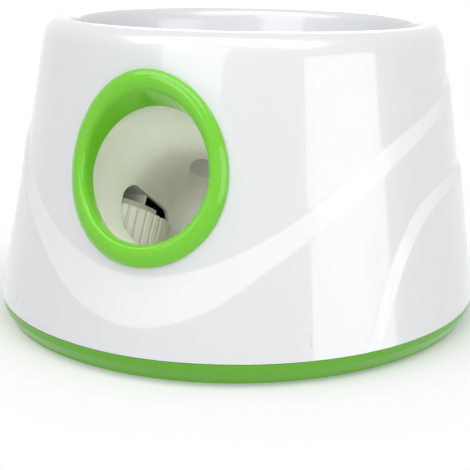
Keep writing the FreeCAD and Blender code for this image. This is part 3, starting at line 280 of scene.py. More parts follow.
# the rear panel's opening, square to the wall
panel_height, panel_corner = 0.076, 0.0168
panel_half_width, panel_half_height = 0.0393, 0.0173
panel_lean = math.atan(level_draft[2])
panel_matrix = (Matrix.Translation((0, level_radius(2, panel_height), panel_height))
                @ Matrix.Rotation(panel_lean - math.pi / 2, 4, "X"))
panel_cutter = rounded_block((-panel_half_width, -panel_half_height, -0.03),
                             (panel_half_width, panel_half_height, 0.02), 2, panel_corner)
panel_cutter.data.transform(panel_matrix)
cut_away(shell, panel_cutter)

# bosses for the case screws, each on two webs, and for the bowl's screws under the rim
boss_radius, boss_bore = 0.0045, 0.0013
boss_place, boss_top = 0.915 * half_length, 0.052
web_turn = 35                        # degrees that a boss's two webs spread to each side
rim_boss_place, rim_boss_radius = 0.1485, 0.0036
rim_boss_low, rim_boss_high = 0.1986, 0.2195


def around(turn, radius):
    """A place on an oval of the body's proportions, turned in degrees from the port."""
    turn = math.radians(turn)
    return Vector((width_ratio * radius * math.sin(turn), -radius * math.cos(turn), 0))


def boss(place, low, high, radius):
    def section(degrees):
        turn = math.radians(degrees)
        return [place + Vector((r * math.cos(turn), r * math.sin(turn), z))
                for r, z in ((boss_bore, low), (radius, low), (radius, high), (boss_bore, high))]
    return rolled_sheet("boss", 24, section)


bosses = []
for turn in (35, 90, 145, 215, 270, 325):
    place = around(turn, boss_place)
    bosses.append(boss(place, foot_height + 0.008, boss_top, boss_radius))
    for side in (-web_turn, web_turn):
        web = rounded_block((0.004, -0.0008, foot_height + 0.009), (0.0135, 0.0008, boss_top), 2, 0.0003)
        for vertex in web.data.vertices:
            if vertex.co.x > 0.008:      # its outer edge ends in the wall
                inner_wall = level_radius(1, vertex.co.z, min(turn, 360 - turn)) - shell_wall / 2
                vertex.co.x = (inner_wall / boss_place - 1) * place.length / math.cos(math.radians(web_turn))
        web.data.transform(Matrix.Translation(place) @ Matrix.Rotation(
            math.atan2(place.y, place.x) + math.radians(side), 4, "Z"))
        bosses.append(web)
for turn in (30, 90, 150, 210, 270, 330):
    bosses.append(boss(around(turn, rim_boss_place), rim_boss_low, rim_boss_high, rim_boss_radius))
join(shell, bosses)
smooth(shell)

# each point of the wall knows whether it is in a wave's band, for the finish
in_wave = shell.data.attributes.new("wave", "FLOAT", "POINT")
for vertex in shell.data.vertices:
    angle = abs(math.degrees(math.atan2(vertex.co.x / width_ratio, -vertex.co.y)))
    edges = [z for z, level in wave_creases(angle)]
    soft = 2 * wave_softness
    in_wave.data[vertex.index].value = max(
        eased((vertex.co.z - low) / soft) * eased((high - vertex.co.z) / soft) if vertex.co.z < roll_height else 0.0
        for low, high in (edges[:2], edges[2:]))


class Socket:
    """A node's output. Sums written with it, or with a number before it, add Math nodes."""

    def __init__(self, tree, output):
        self.tree, self.output = tree, output

    def node(self, kind, settings, *values, out=0, **named):
        """Adds a node: its settings first, then numbers or links for its sockets, by place or by name."""
        made = self.tree.nodes.new("ShaderNode" + kind)
        for key, setting in settings.items():
            if key == "stops":
                while len(made.color_ramp.elements) < len(setting):
                    made.color_ramp.elements.new(0.5)
                for element, (position, tone) in zip(made.color_ramp.elements, setting):
                    element.position, element.color = position, tone
            else:
                setattr(made, key, setting)
        for place, value in list(enumerate(values)) + [(k.replace("_", " "), v) for k, v in named.items()]:
            if isinstance(value, Socket):
                self.tree.links.new(value.output, made.inputs[place])
            elif value is not None:
                made.inputs[place].default_value = value
        return Socket(self.tree, made.outputs[out])

    def sum(self, operation, *values):
        return self.node("Math", {"operation": operation}, *values)

    def __add__(self, other):
        return self.sum("ADD", self, other)

    def __radd__(self, other):
        return self.sum("ADD", other, self)

    def __sub__(self, other):
        return self.sum("SUBTRACT", self, other)

    def __rsub__(self, other):
        return self.sum("SUBTRACT", other, self)

    def __mul__(self, other):
        return self.sum("MULTIPLY", self, other)

    def __rmul__(self, other):
        return self.sum("MULTIPLY", other, self)

    def between(self, low, high):
        """0 at low, 1 at high, smooth in between."""
        return self.node("MapRange", {"interpolation_type": "SMOOTHSTEP"}, self, low, high, 0.0, 1.0)

    def tint(self, dark, light):
        """The colour that is dark where this is 0, and light where it is 1."""
        return self.node("Mix", {"data_type": "RGBA"}, self, None, None, None, None, None, dark, light, out=2)

    def noise(self, scale, detail=2.0):
        """Uneven patches, scale of them to a metre."""
        return self.node("TexNoise", {}, Vector=self, Scale=scale, Detail=detail)

    def seen_from(self, place, turn=(0, 0, 0)):
        """The place on the object as measured from a point of it, along turned axes."""
        return self.node("Mapping", {"vector_type": "TEXTURE"}, self, tuple(place), tuple(turn))

    def part(self, axis):
        return self.node("SeparateXYZ", {}, self, out=axis)

    def length(self, *stretch):
        """Distance from the origin, with the axes stretched."""
        scaled = self.node("VectorMath", {"operation": "MULTIPLY"}, self, stretch)
        return scaled.node("VectorMath", {"operation": "LENGTH"}, scaled, out=1)


def shade(color, share=1.0):
    return (*(c * share for c in color), 1)


def finish(name, color, roughness, metallic=0.0, coat=0.0):
    """A new material, its shader, and the place on the object as a socket to build its pattern from."""
    material = bpy.data.materials.new(name)
    material.use_nodes = True
    tree = material.node_tree
    shader = tree.nodes["Principled BSDF"]
    shader.inputs["Base Color"].default_value = (*color, 1)
    shader.inputs["Roughness"].default_value = roughness
    shader.inputs["Metallic"].default_value = metallic
    shader.inputs["Coat Weight"].default_value = coat
    place = Socket(tree, tree.nodes.new("ShaderNodeTexCoord").outputs["Object"])
    return material, shader, place


def drive(shader, **sockets):
    """Links a shader's sockets to patterns; Bump stands for a height in metres that bends the Normal."""
    for name, value in sockets.items():
        if name == "Bump":
            height, distance = value
            value = height.node("Bump", {}, Strength=1.0, Distance=distance, Height=height)
            name = "Normal"
        value.tree.links.new(value.output, shader.inputs[name.replace("_", " ")])


def moulded(name, color, roughness, grain=0.00002, grain_size=0.0012, coat=0.0, cloud=0.05):
    """Moulded plastic: a faint cloudiness in the colour, uneven gloss, and a fine skin."""
    material, shader, place = finish(name, color, roughness, coat=coat)
    drive(shader, Base_Color=place.noise(9.0, 3.0).tint(shade(color, 1 + cloud / 2), shade(color, 1 - cloud / 2)),
          Roughness=roughness * 0.83 + place.noise(60.0) * (0.35 * roughness),
          Bump=(place.noise(1 / grain_size), grain))
    return material


def dress(piece, material, slot, *nodes):
    """Gives a new piece of the housing its material, hangs it on the housing's body, and hides the CAD nodes that
    it stands for; slot is not used.
    """
    piece.data.materials.clear()
    piece.data.materials.append(material)
    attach(piece, "housing")
    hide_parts(*nodes)


def paint(material, *nodes):
    """Gives CAD nodes their material."""
    for name in nodes:
        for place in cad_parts[name].material_slots:
            place.material = material


white = (0.745, 0.758, 0.772)
white_gloss, shader, place = finish("white gloss", white, 0.32, coat=1.0)
shader.inputs["Coat Roughness"].default_value = 0.06
wave = place.node("Attribute", {"attribute_name": "wave"}, out=2)
plain = place.noise(7.0, 3.0).tint(shade(white, 0.99), shade(white, 0.965))
drive(shader, Base_Color=wave.tint(plain, shade((0.82, 0.83, 0.84))),
      Roughness=0.28 + place.noise(45.0) * 0.08 + wave * 0.12,
      Coat_Weight=1.0 - wave * 0.45,
      Bump=(place.noise(240.0), 0.000006))
dress(shell, white_gloss, "white_gloss", "outer_shell")

# ---- port ring ----------------------------------------------------------------------------
# A glossy green moulding: a fat bead that lies on the wall round the port and hides its cut edge,
# and a sleeve that runs into the mouth of the launch tube. It is pushed in from outside and clips.
bead_reach = 0.0098                  # out from the port's edge at the sides, and more above and below
bead_reach_more = 0.0012
bead_rise = 0.0076
sleeve_wall, sleeve_wall_more = 0.0024, 0.0014      # the wall, and what it gains below
sleeve_length = 0.0082               # in from the wall at the sides and below
sleeve_slant = 0.0108                # its end lies this much further out above than at the sides


def depth_on_wall(x, y):
    """How far out along the tube the wall is, at a place square to the tube."""
    low, high = -0.07, 0.05
    for _ in range(22):
        middle = (low + high) / 2
        p = tube_matrix @ Vector((x, y, middle))
        r = level_radius(0, p.z)
        if math.hypot(p.x / width_ratio, p.y) < r:
            low = middle
        else:
            high = middle
    return low


def ring_section(degrees):
    """The ring's outline at an angle round the port: the bead's foot, its back, the sleeve and its outside."""
    turn = math.radians(degrees)
    edge = Vector((port_half_width * math.cos(turn), port_half_height * math.sin(turn)))
    at_edge = depth_on_wall(edge.x, edge.y + port_lift)
    end = at_edge - sleeve_length
    if math.sin(turn) > 0:           # above, the sleeve ends nearly square to the tube
        end = depth_on_wall(port_half_width, port_lift) - sleeve_length + sleeve_slant * math.sin(turn)
    end -= at_edge
    out = Vector((edge.x / port_half_width ** 2, edge.y / port_half_height ** 2)).normalized()
    reach = bead_reach + bead_reach_more * math.sin(turn) ** 2
    wall = sleeve_wall + sleeve_wall_more * max(0.0, -math.sin(turn))
    profile = [(reach - 0.0009, -0.0006), (reach - 0.0009, 0.0004), (reach - 0.0002, 0.0010)]
    profile += bezier(profile[-1], (reach + 0.0004, 0.0046), (0.0070, bead_rise), (0.0034, bead_rise), 12)
    profile += bezier((0.0034, bead_rise), (-0.0004, bead_rise), (-wall, 0.0046), (-wall, 0.0010), 12)
    profile += [(-wall, end * t) for t in (0.3, 0.65, 0.97, 1.0)]
    profile += [(-0.0004, end), (0.0, end + 0.0004), (0.0, -0.0006)]
    points = []
    for aside, rise in profile:
        spot = edge + aside * out
        depth = at_edge if aside <= 0 else depth_on_wall(spot.x, spot.y + port_lift)
        points.append(tube_matrix @ Vector((spot.x, spot.y + port_lift, depth + rise)))
    return points


ring = rolled_sheet("port_ring_bead", 180, ring_section)
smooth(ring, 50)
green = (0.175, 0.60, 0.022)
green_gloss = moulded("green gloss", green, 0.13, grain=0.000004, grain_size=0.004, cloud=0.03)
dress(ring, green_gloss, "green_gloss", "port_ring")

# ---- hopper bowl and its screws -----------------------------------------------------------
# A white moulding that drops into the rim: a sloping bowl that leads the balls to the hole in its
# floor. Six plated pan-head screws hold its flange up into the shell's bosses.
bowl_gloss = moulded("bowl gloss", (0.80, 0.81, 0.82), 0.28, grain=0.000002, grain_size=0.004, coat=0.6,
                     cloud=0.008)
paint(bowl_gloss, "hopper_bowl")


def metal(name, color, roughness, draw=(1, 1, 1), grain=900.0):
    """Metal with fine marks, longer along the axes that draw shrinks, and faint stains."""
    material, shader, place = finish(name, color, roughness, metallic=1.0)
    marks = place.node("VectorMath", {"operation": "MULTIPLY"}, place, draw).noise(grain, 3.0)
    drive(shader, Base_Color=place.noise(70.0, 3.0).tint(shade(color), shade(color, 0.86)),
          Roughness=roughness * 0.75 + marks * (0.5 * roughness), Bump=(marks, 0.000004))
    return material


plated_steel = metal("plated steel", (0.66, 0.66, 0.64), 0.28)
paint(plated_steel, "hopper_screws")

# ---- launch tube and its screws -----------------------------------------------------------
# Pale satin ABS in two halves: a bell mouth, a plain bore and a closed back, with a slot in each
# side for a wheel and a hole above for the ball. The lower half has the two wings that carry the
# motors and four legs that stand on the base pan, and four screws through ears close the split.
tube_radius, mouth_radius, tube_wall = 0.040, 0.0506, 0.0026
pocket_depth = 0.147
bell_start, bell_end = 0.030, 0.072  # how far back the mouth starts to narrow, and ends
back_corner = 0.018
mouth_gap = 0.0042                   # from the shell's face in to the tube's rim
wheel_depth, wheel_aside, wheel_radius = 0.0995, 0.0685, 0.046
slot_low, slot_high, slot_half, slot_corner = -0.033, 0.0114, 0.0385, 0.011
wing_low, wing_high = -0.037, -0.034
throat_radius, throat_place = 0.027, (0.010, -0.062)


def tube_profiles(degrees):
    """(radius, depth) down the inside to the middle of the back, and from there up the outside, at an angle."""
    turn = math.radians(degrees)
    mouth = depth_on_wall(mouth_radius * math.cos(turn), mouth_radius * math.sin(turn)) - mouth_gap
    inside = [(mouth_radius, mouth), (mouth_radius, -bell_start)]
    for i in range(1, 17):
        depth = bell_start + (bell_end - bell_start) * i / 16
        inside.append((mouth_radius + (tube_radius - mouth_radius) * eased(i / 16), -depth))
    inside += [(tube_radius, -wheel_depth)]
    outside = [(0.0, -pocket_depth - tube_wall)]
    bends = [math.radians(7.5 * i) for i in range(13)]
    for radius, profile, order in ((back_corner, inside, bends), (back_corner + tube_wall, outside, bends[::-1])):
        profile += [(tube_radius - back_corner + radius * math.cos(bend),
                     -pocket_depth + back_corner - radius * math.sin(bend)) for bend in order]
    inside += [(0.012, -pocket_depth), (0.0, -pocket_depth)]
    outside += [(tube_radius + tube_wall, -bell_end)]
    outside += [(mouth_radius + tube_wall, -bell_start), (mouth_radius + tube_wall, mouth)]
    return inside, outside


def round_tube(degrees, profile):
    """A profile's places at an angle round the tube."""
    turn = math.radians(degrees)
    return [Vector((r * math.cos(turn), r * math.sin(turn), depth)) for r, depth in profile]


def tube_section(degrees):
    inside, outside = tube_profiles(degrees)
    return round_tube(degrees, inside + outside)


split_gap = 0.00002                  # each half stops this far short of the split
slot_inner, slot_outer = 0.018, 0.078
ear_thickness, ear_hole = 0.0032, 0.0015
ear_places = ((0.0480, 0.0530, 0.0500), (0.0385, 0.0490, 0.1445))    # inner edge, screw, how far back
ear_reach = 0.0045                   # of an ear, past its screw
beyond = 0.2                         # well past the tube, for a block that takes half of it


def tube_half(name, upper):
    """The tube's form above or below its split, in the tube's own frame, with the slots cut."""
    half = rolled_sheet(name, 128, tube_section)
    smooth(half)
    low, high = (-beyond, split_gap) if upper else (-split_gap, beyond)
    cut_away(half, rounded_block((-beyond, low, -1.5 * beyond), (beyond, high, beyond)))
    for side in (-1, 1):
        edge = sorted((side * slot_inner, side * slot_outer))
        cut_away(half, rounded_block((edge[0], slot_low, -wheel_depth - slot_half),
                                     (edge[1], slot_high, -wheel_depth + slot_half), 0, slot_corner))
    return half


def tube_ears(upper):
    """Flat ears beside the split, ahead of and behind the slots, each with its screw hole."""
    low, high = (0.0, ear_thickness) if upper else (-ear_thickness, 0.0)
    made = []
    for side in (-1, 1):
        for inner, x, back in ear_places:
            edge = sorted((side * inner, side * (x + ear_reach)))
            ear = rounded_block((edge[0], low, -back - 0.005), (edge[1], high, -back + 0.005), 1, 0.0012)
            hole = rod(ear_hole, -0.02, 0.02)
            hole.data.transform(Matrix.Translation((side * x, 0, -back)) @ Matrix.Rotation(math.pi / 2, 4, "X"))
            cut_away(ear, hole)
            made.append(ear)
    return made


def cavity():
    """The room inside the shell, less a hair."""
    def section(degrees):
        angle = min(degrees, 360 - degrees)
        heights = [0.005 + 0.195 * i / 13 for i in range(14)]
        ring = [(wall_radius(angle, z) - shell_wall - 0.0005, z) for z in heights]
        closed = [(0.0, heights[0])] + ring + [(0.0, heights[-1])]
        return [around(degrees, r) + Vector((0, 0, z)) for r, z in closed]
    room = rolled_sheet("cavity", 120, section)
    smooth(room)
    return room


past_mouth = 0.04                    # how far out of the port a cutter for the tube's room reaches
into_wall = 1.02                     # by what factor it is wider than the room


def bore():
    """The room inside the tube and a little of its wall, run on through the mouth."""
    def section(degrees):
        inside = tube_profiles(degrees)[0]
        return round_tube(degrees, [(0.0, past_mouth), (mouth_radius, past_mouth)] + inside[1:])
    room = rolled_sheet("bore", 128, section)
    smooth(room)
    room.data.transform(Matrix.Diagonal((into_wall, into_wall, 1.0, 1.0)))
    return room


cover_inner, cover_outer, cover_back = 0.0395, 0.086, -0.0972
cover_low, cover_high, cover_front = 0.0116, 0.0138, -0.057
cover_wall_inner, cover_wall_front = 0.0412, -0.095
cover_wall_foot, cover_wall_top = 0.0012, 0.0120
throat_low, throat_high = 0.100, 0.220
tube_upper = tube_half("tube_roof", True)
covers = []                          # over each wheel a flat roof, with a wall down from its back edge
for side in (-1, 1):
    edge = sorted((side * cover_inner, side * cover_outer))
    covers.append(rounded_block((edge[0], cover_low, cover_back), (edge[1], cover_high, cover_front), 1, 0.0008))
    edge = sorted((side * cover_wall_inner, side * cover_outer))
    covers.append(rounded_block((edge[0], cover_wall_foot, cover_back),
                                (edge[1], cover_wall_top, cover_wall_front), 1, 0.0004))
join(tube_upper, tube_ears(True))
tube_upper.data.transform(tube_matrix)
for cover in covers:
    cut_away(cover, bore())
    cover.data.transform(tube_matrix)
    cut_away(cover, cavity(), "INTERSECT")
cut_away(tube_upper, rod(throat_radius, throat_low, throat_high, throat_place, 96))
join(tube_upper, covers)
smooth(tube_upper, 40)

wing_inner, wing_outer, wing_corner = 0.0255, 0.112, 0.004
wing_behind, wing_ahead = 0.040, 0.0545          # of the wheels' axles
motor_hole, screw_circle, screw_hole = 0.0217, 0.0265, 0.0013
relief_room = 0.0012                 # round a wheel
leg_places, leg_foot, leg_radius = ((0.098, -0.076), (0.038, -0.156)), 0.007, 0.006
leg_overlap = 0.0025                 # of a leg into its wing


def at_axle(side):
    """From upright at the origin to along a wheel's axle."""
    return Matrix.Translation((side * wheel_aside, 0, -wheel_depth)) @ Matrix.Rotation(-math.pi / 2, 4, "X")


tube_lower = tube_half("tube_trough", False)
for side in (-1, 1):
    relief = rod(wheel_radius + relief_room, slot_low, -0.003, steps=96)
    relief.data.transform(at_axle(side))
    cut_away(tube_lower, relief)
wings = []
for side in (-1, 1):
    edge = sorted((side * wing_inner, side * wing_outer))
    wing = rounded_block((edge[0], wing_low, -wheel_depth - wing_behind),
                         (edge[1], wing_high, -wheel_depth + wing_ahead), 1, wing_corner)
    screws = [(screw_hole, screw_circle * math.cos(math.radians(a)), screw_circle * math.sin(math.radians(a)))
              for a in (90, 210, 330)]
    for radius, aside, along in [(motor_hole, 0, 0)] + screws:
        hole = rod(radius, -0.05, -0.02, (aside, along), 64 if radius == motor_hole else 20)
        hole.data.transform(at_axle(side))
        cut_away(wing, hole)
    cut_away(wing, bore())
    wing.data.transform(tube_matrix)
    cut_away(wing, cavity(), "INTERSECT")
    wings.append(wing)
join(tube_lower, tube_ears(False))
tube_lower.data.transform(tube_matrix)
legs = []
for side in (-1, 1):
    for x, y in leg_places:
        under_wing = port_height + (wing_low - math.sin(tube_tilt) * (y - port.y)) / math.cos(tube_tilt)
        legs.append(boss(Vector((side * x, y, 0)), leg_foot, under_wing + leg_overlap, leg_radius))
join(tube_lower, wings + legs)
smooth(tube_lower, 40)

inner_color = (0.88, 0.885, 0.80)
inner_plastic = moulded("inner plastic", inner_color, 0.42, grain=0.000010, grain_size=0.003, cloud=0.05)
dress(tube_upper, inner_plastic, "inner_plastic", "launch_tube_upper")
dress(tube_lower, inner_plastic, "inner_plastic", "launch_tube_lower")
paint(plated_steel, "tube_screws")

# ---- wheels -------------------------------------------------------------------------------
# Each wheel is a moulded cup with a collar above it, and an ivory rubber tread with ribs across it
# stretched over the cup. The cup is pressed on the motor's shaft. The two turn opposite ways.
along = Vector((0, -math.cos(tube_tilt), math.sin(tube_tilt)))
lean = (-tube_tilt, 0, 0)
tread_color = (0.83, 0.81, 0.72)
groove_low, groove_high = wheel_radius - 0.0011, wheel_radius - 0.0003
for side, name in ((-1, "left"), (1, "right")):
    axle = port - along * wheel_depth + Vector((side * wheel_aside, 0, 0))
    material, shader, place = finish(name + " tread rubber", tread_color, 0.55)
    radius = place.seen_from(axle, lean).length(1, 1, 0)
    worn = place.noise(160.0, 3.0)
    # land is 1 on the ribs and 0 in the grooves; the grooves are painted down to 0.8 of the tread's colour: painted
    # shade in the grooves
    land = radius.between(groove_low, groove_high)
    ribs = worn.tint(shade(tread_color, 1.02), shade(tread_color, 0.94))
    drive(shader, Base_Color=land.tint(shade(tread_color, 0.80), ribs),
          Roughness=0.5 + worn * 0.2, Bump=(place.noise(2500.0), 0.00002))
    paint(material, name + "_wheel_tread")
hub_plastic = moulded("hub plastic", (0.56, 0.54, 0.47), 0.45, grain=0.00001, cloud=0.06)
paint(hub_plastic, "left_wheel_hub", "right_wheel_hub")

# ---- wheel motors -------------------------------------------------------------------------
# A brushed motor hangs inside each cup: drawn steel can, black nylon end cap with its terminals,
# ground shaft, and a plated bracket like a top hat that three screws hold to the wing.
for side, name in ((-1, "left"), (1, "right")):
    axle = port - along * wheel_depth + Vector((side * wheel_aside, 0, 0))
    material, shader, place = finish(name + " motor can", (0.56, 0.56, 0.57), 0.34, metallic=1.0)
    own = place.seen_from(axle, lean)
    drawn = own.node("VectorMath", {"operation": "MULTIPLY"}, own, (1, 1, 0.03)).noise(700.0, 3.0)
    soot = own.noise(55.0, 4.0)
    drive(shader, Base_Color=soot.tint((0.60, 0.60, 0.61, 1), (0.47, 0.47, 0.48, 1)),
          Roughness=0.24 + drawn * 0.2, Bump=(drawn, 0.000006))
    paint(material, name + "_motor_can")
ground_steel = metal("ground steel", (0.70, 0.70, 0.71), 0.18, draw=(1, 1, 0.2), grain=2600.0)
paint(ground_steel, "left_motor_shaft", "right_motor_shaft")
nylon = moulded("black nylon", (0.018, 0.018, 0.019), 0.42, grain=0.00002, grain_size=0.0006, cloud=0.3)
paint(nylon, "left_motor_endcap", "right_motor_endcap")
bracket_steel = metal("bracket steel", (0.62, 0.62, 0.60), 0.34, draw=(0.15, 1, 1), grain=1300.0)
paint(bracket_steel, "left_motor_bracket", "right_motor_bracket")
paint(plated_steel, "bracket_screws")

# ---- feed throat and ball sensors ---------------------------------------------------------
# A pale ABS funnel under the bowl's hole that lets one ball at a time down into the tube. Two
# smoked plastic eyes face each other across it and see a ball that waits.
throat_plastic = moulded("throat plastic", (0.76, 0.77, 0.69), 0.45, grain=0.00001, grain_size=0.002, cloud=0.05)
paint(throat_plastic, "feed_throat")
smoked = moulded("smoked plastic", (0.030, 0.018, 0.022), 0.16, grain=0.000003, grain_size=0.002, cloud=0.2)
paint(smoked, "ball_sensors")

# ---- gate and its gears -------------------------------------------------------------------
# An acetal blade swings under the throat on a steel pin. Its toothed sector is driven by a pinion
# on a small gearmotor, a plated box that two screws hold to the throat.
acetal = moulded("acetal", (0.78, 0.77, 0.72), 0.33, grain=0.000006, grain_size=0.0015, cloud=0.03)
paint(acetal, "gate_blade", "gate_pinion")
paint(ground_steel, "gate_pivot_pin", "gate_motor_shaft")
gearbox_steel = metal("gearbox steel", (0.60, 0.59, 0.56), 0.30, draw=(1, 1, 0.1), grain=1500.0)
paint(gearbox_steel, "gate_gearmotor")
paint(plated_steel, "gate_motor_screws")

# ---- base pan and the screws in it --------------------------------------------------------
# A green moulding, glossy where it shows as a band under the shell, with a spark-eroded matt
# floor below. The case screws come up through it into the shell, the leg screws into the tube.
shaded_pan_green, shader, place = finish("pan green", green, 0.16)
height = place.part(2)
band = height.between(0.0035, 0.0075)
sparked = place.noise(2200.0, 2.0)
# the pan's colour is the ring's green painted down to 0.64 to 0.68 of itself: painted shade for the band under the
# shell, which is less lit than the ring
drive(shader, Base_Color=place.noise(9.0, 3.0).tint(shade(green, 0.68), shade(green, 0.64)),
      Roughness=0.62 + sparked * 0.1 - band * 0.34,
      Bump=(sparked * (1.0 - band) + place.noise(240.0) * 0.15 * band, 0.00003))
paint(shaded_pan_green, "base_pan")
paint(plated_steel, "case_screws", "leg_screws")

# ---- rubber feet --------------------------------------------------------------------------
# Four dark grey rubber feet with a ribbed tread, glued into the pan's recesses. Dust dulls the soles.
foot_rubber, shader, place = finish("foot rubber", (0.035, 0.036, 0.038), 0.75)
sole = 1.0 - place.part(2).between(0.0002, 0.0012)
dust = place.noise(240.0, 4.0)
drive(shader, Base_Color=(sole * dust).tint((0.030, 0.031, 0.033, 1), (0.16, 0.155, 0.145, 1)),
      Roughness=0.66 + dust * 0.2, Bump=(place.noise(3000.0), 0.00003))
paint(foot_rubber, "rubber_feet")

# ---- battery tray, door and contacts ------------------------------------------------------
# A black ABS tray under the tube with nickel springs and plates, closed from below by a green door
# with a finger catch, matt like the pan's floor.
tray_plastic = moulded("tray plastic", (0.022, 0.022, 0.024), 0.5, grain=0.00003, grain_size=0.0008, cloud=0.25)
paint(tray_plastic, "battery_tray")
# the door takes the pan's green, with its painted shade
paint(shaded_pan_green, "battery_door")
nickel = metal("nickel", (0.66, 0.63, 0.56), 0.22, grain=1800.0)
paint(nickel, "battery_contacts")

# ---- main board ---------------------------------------------------------------------------
# A glass-fibre board with green solder mask over copper tracks, on four posts, with its two
# capacitors, finned transistor sink, controller, three plugs and beeper soldered on top.
mask, shader, place = finish("solder mask", (0.012, 0.105, 0.030), 0.32, coat=0.3)
tracks = place.node("TexBrick", {"offset": 0.37, "squash": 1.6, "squash_frequency": 3}, Vector=place, Scale=60.0,
                    Mortar_Size=0.035, Mortar_Smooth=0.1, Bias=0.0, Brick_Width=0.42, Row_Height=0.17, out=1)
pads = 1.0 - place.node("TexVoronoi", {}, Vector=place, Scale=260.0, Randomness=0.3).between(0.16, 0.22)
sockets = place.noise(38.0).between(0.52, 0.6) * pads
copper = tracks.tint((0.010, 0.095, 0.026, 1), (0.030, 0.19, 0.060, 1))
drive(shader, Base_Color=sockets.tint(copper, (0.62, 0.60, 0.55, 1)),
      Roughness=0.34 - tracks * 0.08, Metallic=sockets, Bump=(tracks + sockets, 0.00003))
paint(mask, "main_board", "button_board")

parts_finish, shader, place = finish("soldered parts", (0.02, 0.02, 0.022), 0.4)
sink_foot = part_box("board_components")[0].z
tall = place.part(2).between(sink_foot + 0.0150, sink_foot + 0.0152)
drive(shader, Base_Color=tall.tint(place.noise(300.0).tint((0.022, 0.022, 0.024, 1), (0.032, 0.032, 0.036, 1)),
                                   (0.40, 0.40, 0.41, 1)),
      Roughness=0.34 + place.noise(900.0) * 0.18, Metallic=tall * 0.9, Bump=(place.noise(1800.0), 0.00001))
paint(parts_finish, "board_components")
paint(plated_steel, "board_screws")

# ---- control panel ------------------------------------------------------------------------
# A dark grey ABS plate in the rear wall with a green power button, a grey range button, three
# lamps under clear lenses and the supply socket; a small board behind it carries the switches.
panel_plastic = moulded("panel plastic", (0.060, 0.063, 0.068), 0.38, grain=0.00003, grain_size=0.0007, cloud=0.1)
paint(panel_plastic, "control_panel")
panel_turn = (panel_lean - math.pi / 2, 0, 0)


def button(name, color, at, symbol):
    """A soft-touch button with a pad-printed sign round its own centre."""
    material, shader, place = finish(name, color, 0.5)
    own = place.seen_from(panel_matrix @ Vector((at[0], at[1], 0)), panel_turn)
    print_mask = symbol(own)
    rubber = place.noise(80.0).tint(shade(color), shade(color, 0.94))
    drive(shader, Base_Color=print_mask.tint(rubber, (0.86, 0.87, 0.86, 1)),
          Roughness=0.5 - print_mask * 0.15, Bump=(place.noise(2600.0), 0.00001))
    return material


def power_sign(own):
    """The usual ring, open at the top, with a stroke down into it. Up on the panel is -Y here."""
    radius, x, y = own.length(1, 1, 0), own.part(0), own.part(1)
    off_middle = x.sum("ABSOLUTE", x)
    open_top = off_middle.between(0.0009, 0.0011)
    below = y.between(-0.0006, -0.0004)
    hoop = radius.between(0.0026, 0.0028) * (1.0 - radius.between(0.0033, 0.0035))
    stroke = (1.0 - off_middle.between(0.00030, 0.00045)) * (1.0 - below)
    stroke = stroke * (1.0 - y.sum("ABSOLUTE", y).between(0.0036, 0.0038))
    return stroke.sum("MAXIMUM", stroke, hoop * open_top.sum("MAXIMUM", open_top, below))


def range_sign(own):
    """Three arcs that grow wider, for how far the ball flies."""
    radius, y = own.seen_from((0, 0.0030, 0)).length(1, 1, 0), own.part(1)
    rings = None
    for r in (0.0016, 0.0034, 0.0052):
        arc = radius.between(r - 0.0005, r - 0.0003) * (1.0 - radius.between(r + 0.0003, r + 0.0005))
        rings = arc if rings is None else rings + arc
    x = own.part(0)
    return rings * (y * -1.0 - x.sum("ABSOLUTE", x)).between(-0.0032, -0.0028)


paint(button("button green", (0.16, 0.52, 0.06), (-0.022, -0.001), power_sign), "power_button")
paint(button("button grey", (0.30, 0.31, 0.32), (0.006, -0.001), range_sign), "range_button")
lens, shader, place = finish("clear lens", (0.62, 0.64, 0.60), 0.12, coat=0.6)
ripple = place.node("TexWave", {"wave_type": "RINGS", "rings_direction": "Z"}, Vector=place, Scale=500.0)
drive(shader, Base_Color=place.noise(400.0).tint((0.66, 0.68, 0.64, 1), (0.56, 0.58, 0.54, 1)),
      Roughness=0.10 + ripple * 0.08, Bump=(ripple, 0.00001))
paint(lens, "indicator_lenses")
socket_black = moulded("socket black", (0.014, 0.014, 0.015), 0.34, grain=0.00001, grain_size=0.0006, cloud=0.2)
paint(socket_black, "dc_jack")

# ---- the set ------------------------------------------------------------------------------
# A white floor and surround. Soft lights stand down the tube's line, low on the right, above the
# rim, by the camera and behind. A small one in the port's mouth, unseen and turned inward, lights
# the tube, which the others leave too dark.
focal_pixels, picture_pixels = 1078.8, 470
camera_data = bpy.data.cameras.new("camera")
camera = bpy.data.objects.new("camera", camera_data)
bpy.context.scene.collection.objects.link(camera)
right = Vector((0.9287, 0.3701, 0.0218))
upward = Vector((-0.1137, 0.2285, 0.9669))
back = Vector((0.3529, -0.9004, 0.2543))
camera.matrix_world = Matrix(((right.x, upward.x, back.x, 0.3044), (right.y, upward.y, back.y, -0.7915),
                              (right.z, upward.z, back.z, 0.2743), (0, 0, 0, 1)))
camera_data.sensor_width = 36
camera_data.lens = focal_pixels / picture_pixels * camera_data.sensor_width
camera_data.clip_start = 0.01
bpy.context.scene.camera = camera

bpy.ops.object.select_all(action="DESELECT")
bpy.ops.mesh.primitive_plane_add(size=30)
floor = bpy.context.object
floor.name = "floor"
floor.visible_glossy = False


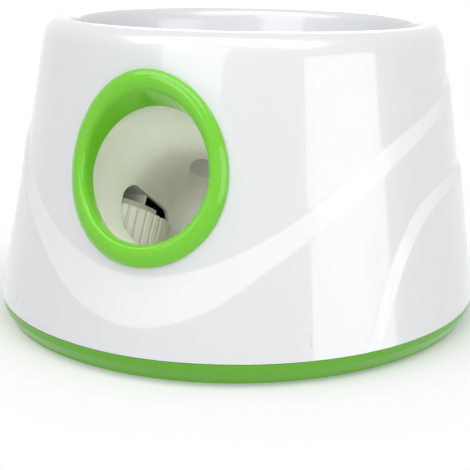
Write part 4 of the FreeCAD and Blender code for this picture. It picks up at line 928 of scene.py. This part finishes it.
def shown_white(tree, plain, kind, where=None):
    """Plain white where the camera, a gloss or a clear piece looks at it, and plain to everything else."""
    ray = tree.nodes.new("ShaderNodeLightPath")
    white_light = tree.nodes.new("ShaderNode" + kind)
    white_light.inputs[0].default_value = (1, 1, 1, 1)
    white_light.inputs[1].default_value = 1.0
    camera_ray, glossy, through = (Socket(tree, ray.outputs[f"Is {what} Ray"])
                                   for what in ("Camera", "Glossy", "Transmission"))
    seen = camera_ray.sum("MAXIMUM", camera_ray, glossy.sum("MAXIMUM", glossy, through))
    seen = seen * where if where else seen
    mixed = seen.node("MixShader", {}, seen, Socket(tree, plain.outputs[0]), Socket(tree, white_light.outputs[0]))
    out = next(n for n in tree.nodes if n.type in ("OUTPUT_MATERIAL", "OUTPUT_WORLD"))
    tree.links.new(mixed.output, out.inputs["Surface"])


floor_material, shader, place = finish("floor paper", (0.9, 0.9, 0.9), 0.9)
shader.inputs["Specular IOR Level"].default_value = 0.0
away = place.length(1, 1, 0).between(0.12, 0.30)
shown_white(floor_material.node_tree, shader, "Emission", away)
floor.data.materials.append(floor_material)

world = bpy.data.worlds.new("surround")
bpy.context.scene.world = world
world.use_nodes = True
surround = world.node_tree.nodes["Background"]
surround.inputs[0].default_value = (0.97, 0.985, 1.0, 1)
surround.inputs[1].default_value = 0.17
shown_white(world.node_tree, surround, "Background")


def soft_light(name, place, target, width, height, radiance):
    """A rectangular soft light whose face shines with the given radiance."""
    data = bpy.data.lights.new(name, "AREA")
    data.shape, data.size, data.size_y = "RECTANGLE", width, height
    data.energy = radiance * width * height * math.pi
    light = bpy.data.objects.new(name, data)
    bpy.context.scene.collection.objects.link(light)
    light.location = place
    light.rotation_euler = (Vector(target) - Vector(place)).to_track_quat("-Z", "Y").to_euler()
    light.visible_camera = False
    return light


soft_light("down the tube", (-0.05, -2.1, 1.24), (0, -0.1, 0.1), 1.5, 1.2, 2.2)
soft_light("right softbox", (1.485, -0.27, 0.2), (0, 0, 0.12), 1.12, 0.8, 2.2)
soft_light("above the rim", (0.15, -0.75, 1.75), (0, 0, 0.1), 3.4, 1.1, 2.5)
fill = soft_light("fill by the camera", (0.80, -2.05, 0.75), (0, -0.1, 0.1), 1.2, 1.0, 0.9)
fill.visible_glossy = False
soft_light("behind", (-0.7, 2.1, 1.2), (0, 0.1, 0.1), 1.3, 1.0, 1.6)
in_mouth, down_tube = (tube_matrix @ Vector((0, 0, depth)) for depth in (-0.014, -0.1))
glow = soft_light("in the mouth", in_mouth, down_tube, 0.07, 0.07, 0.55)
glow.visible_glossy = False

bpy.context.scene.view_settings.view_transform = "Standard"
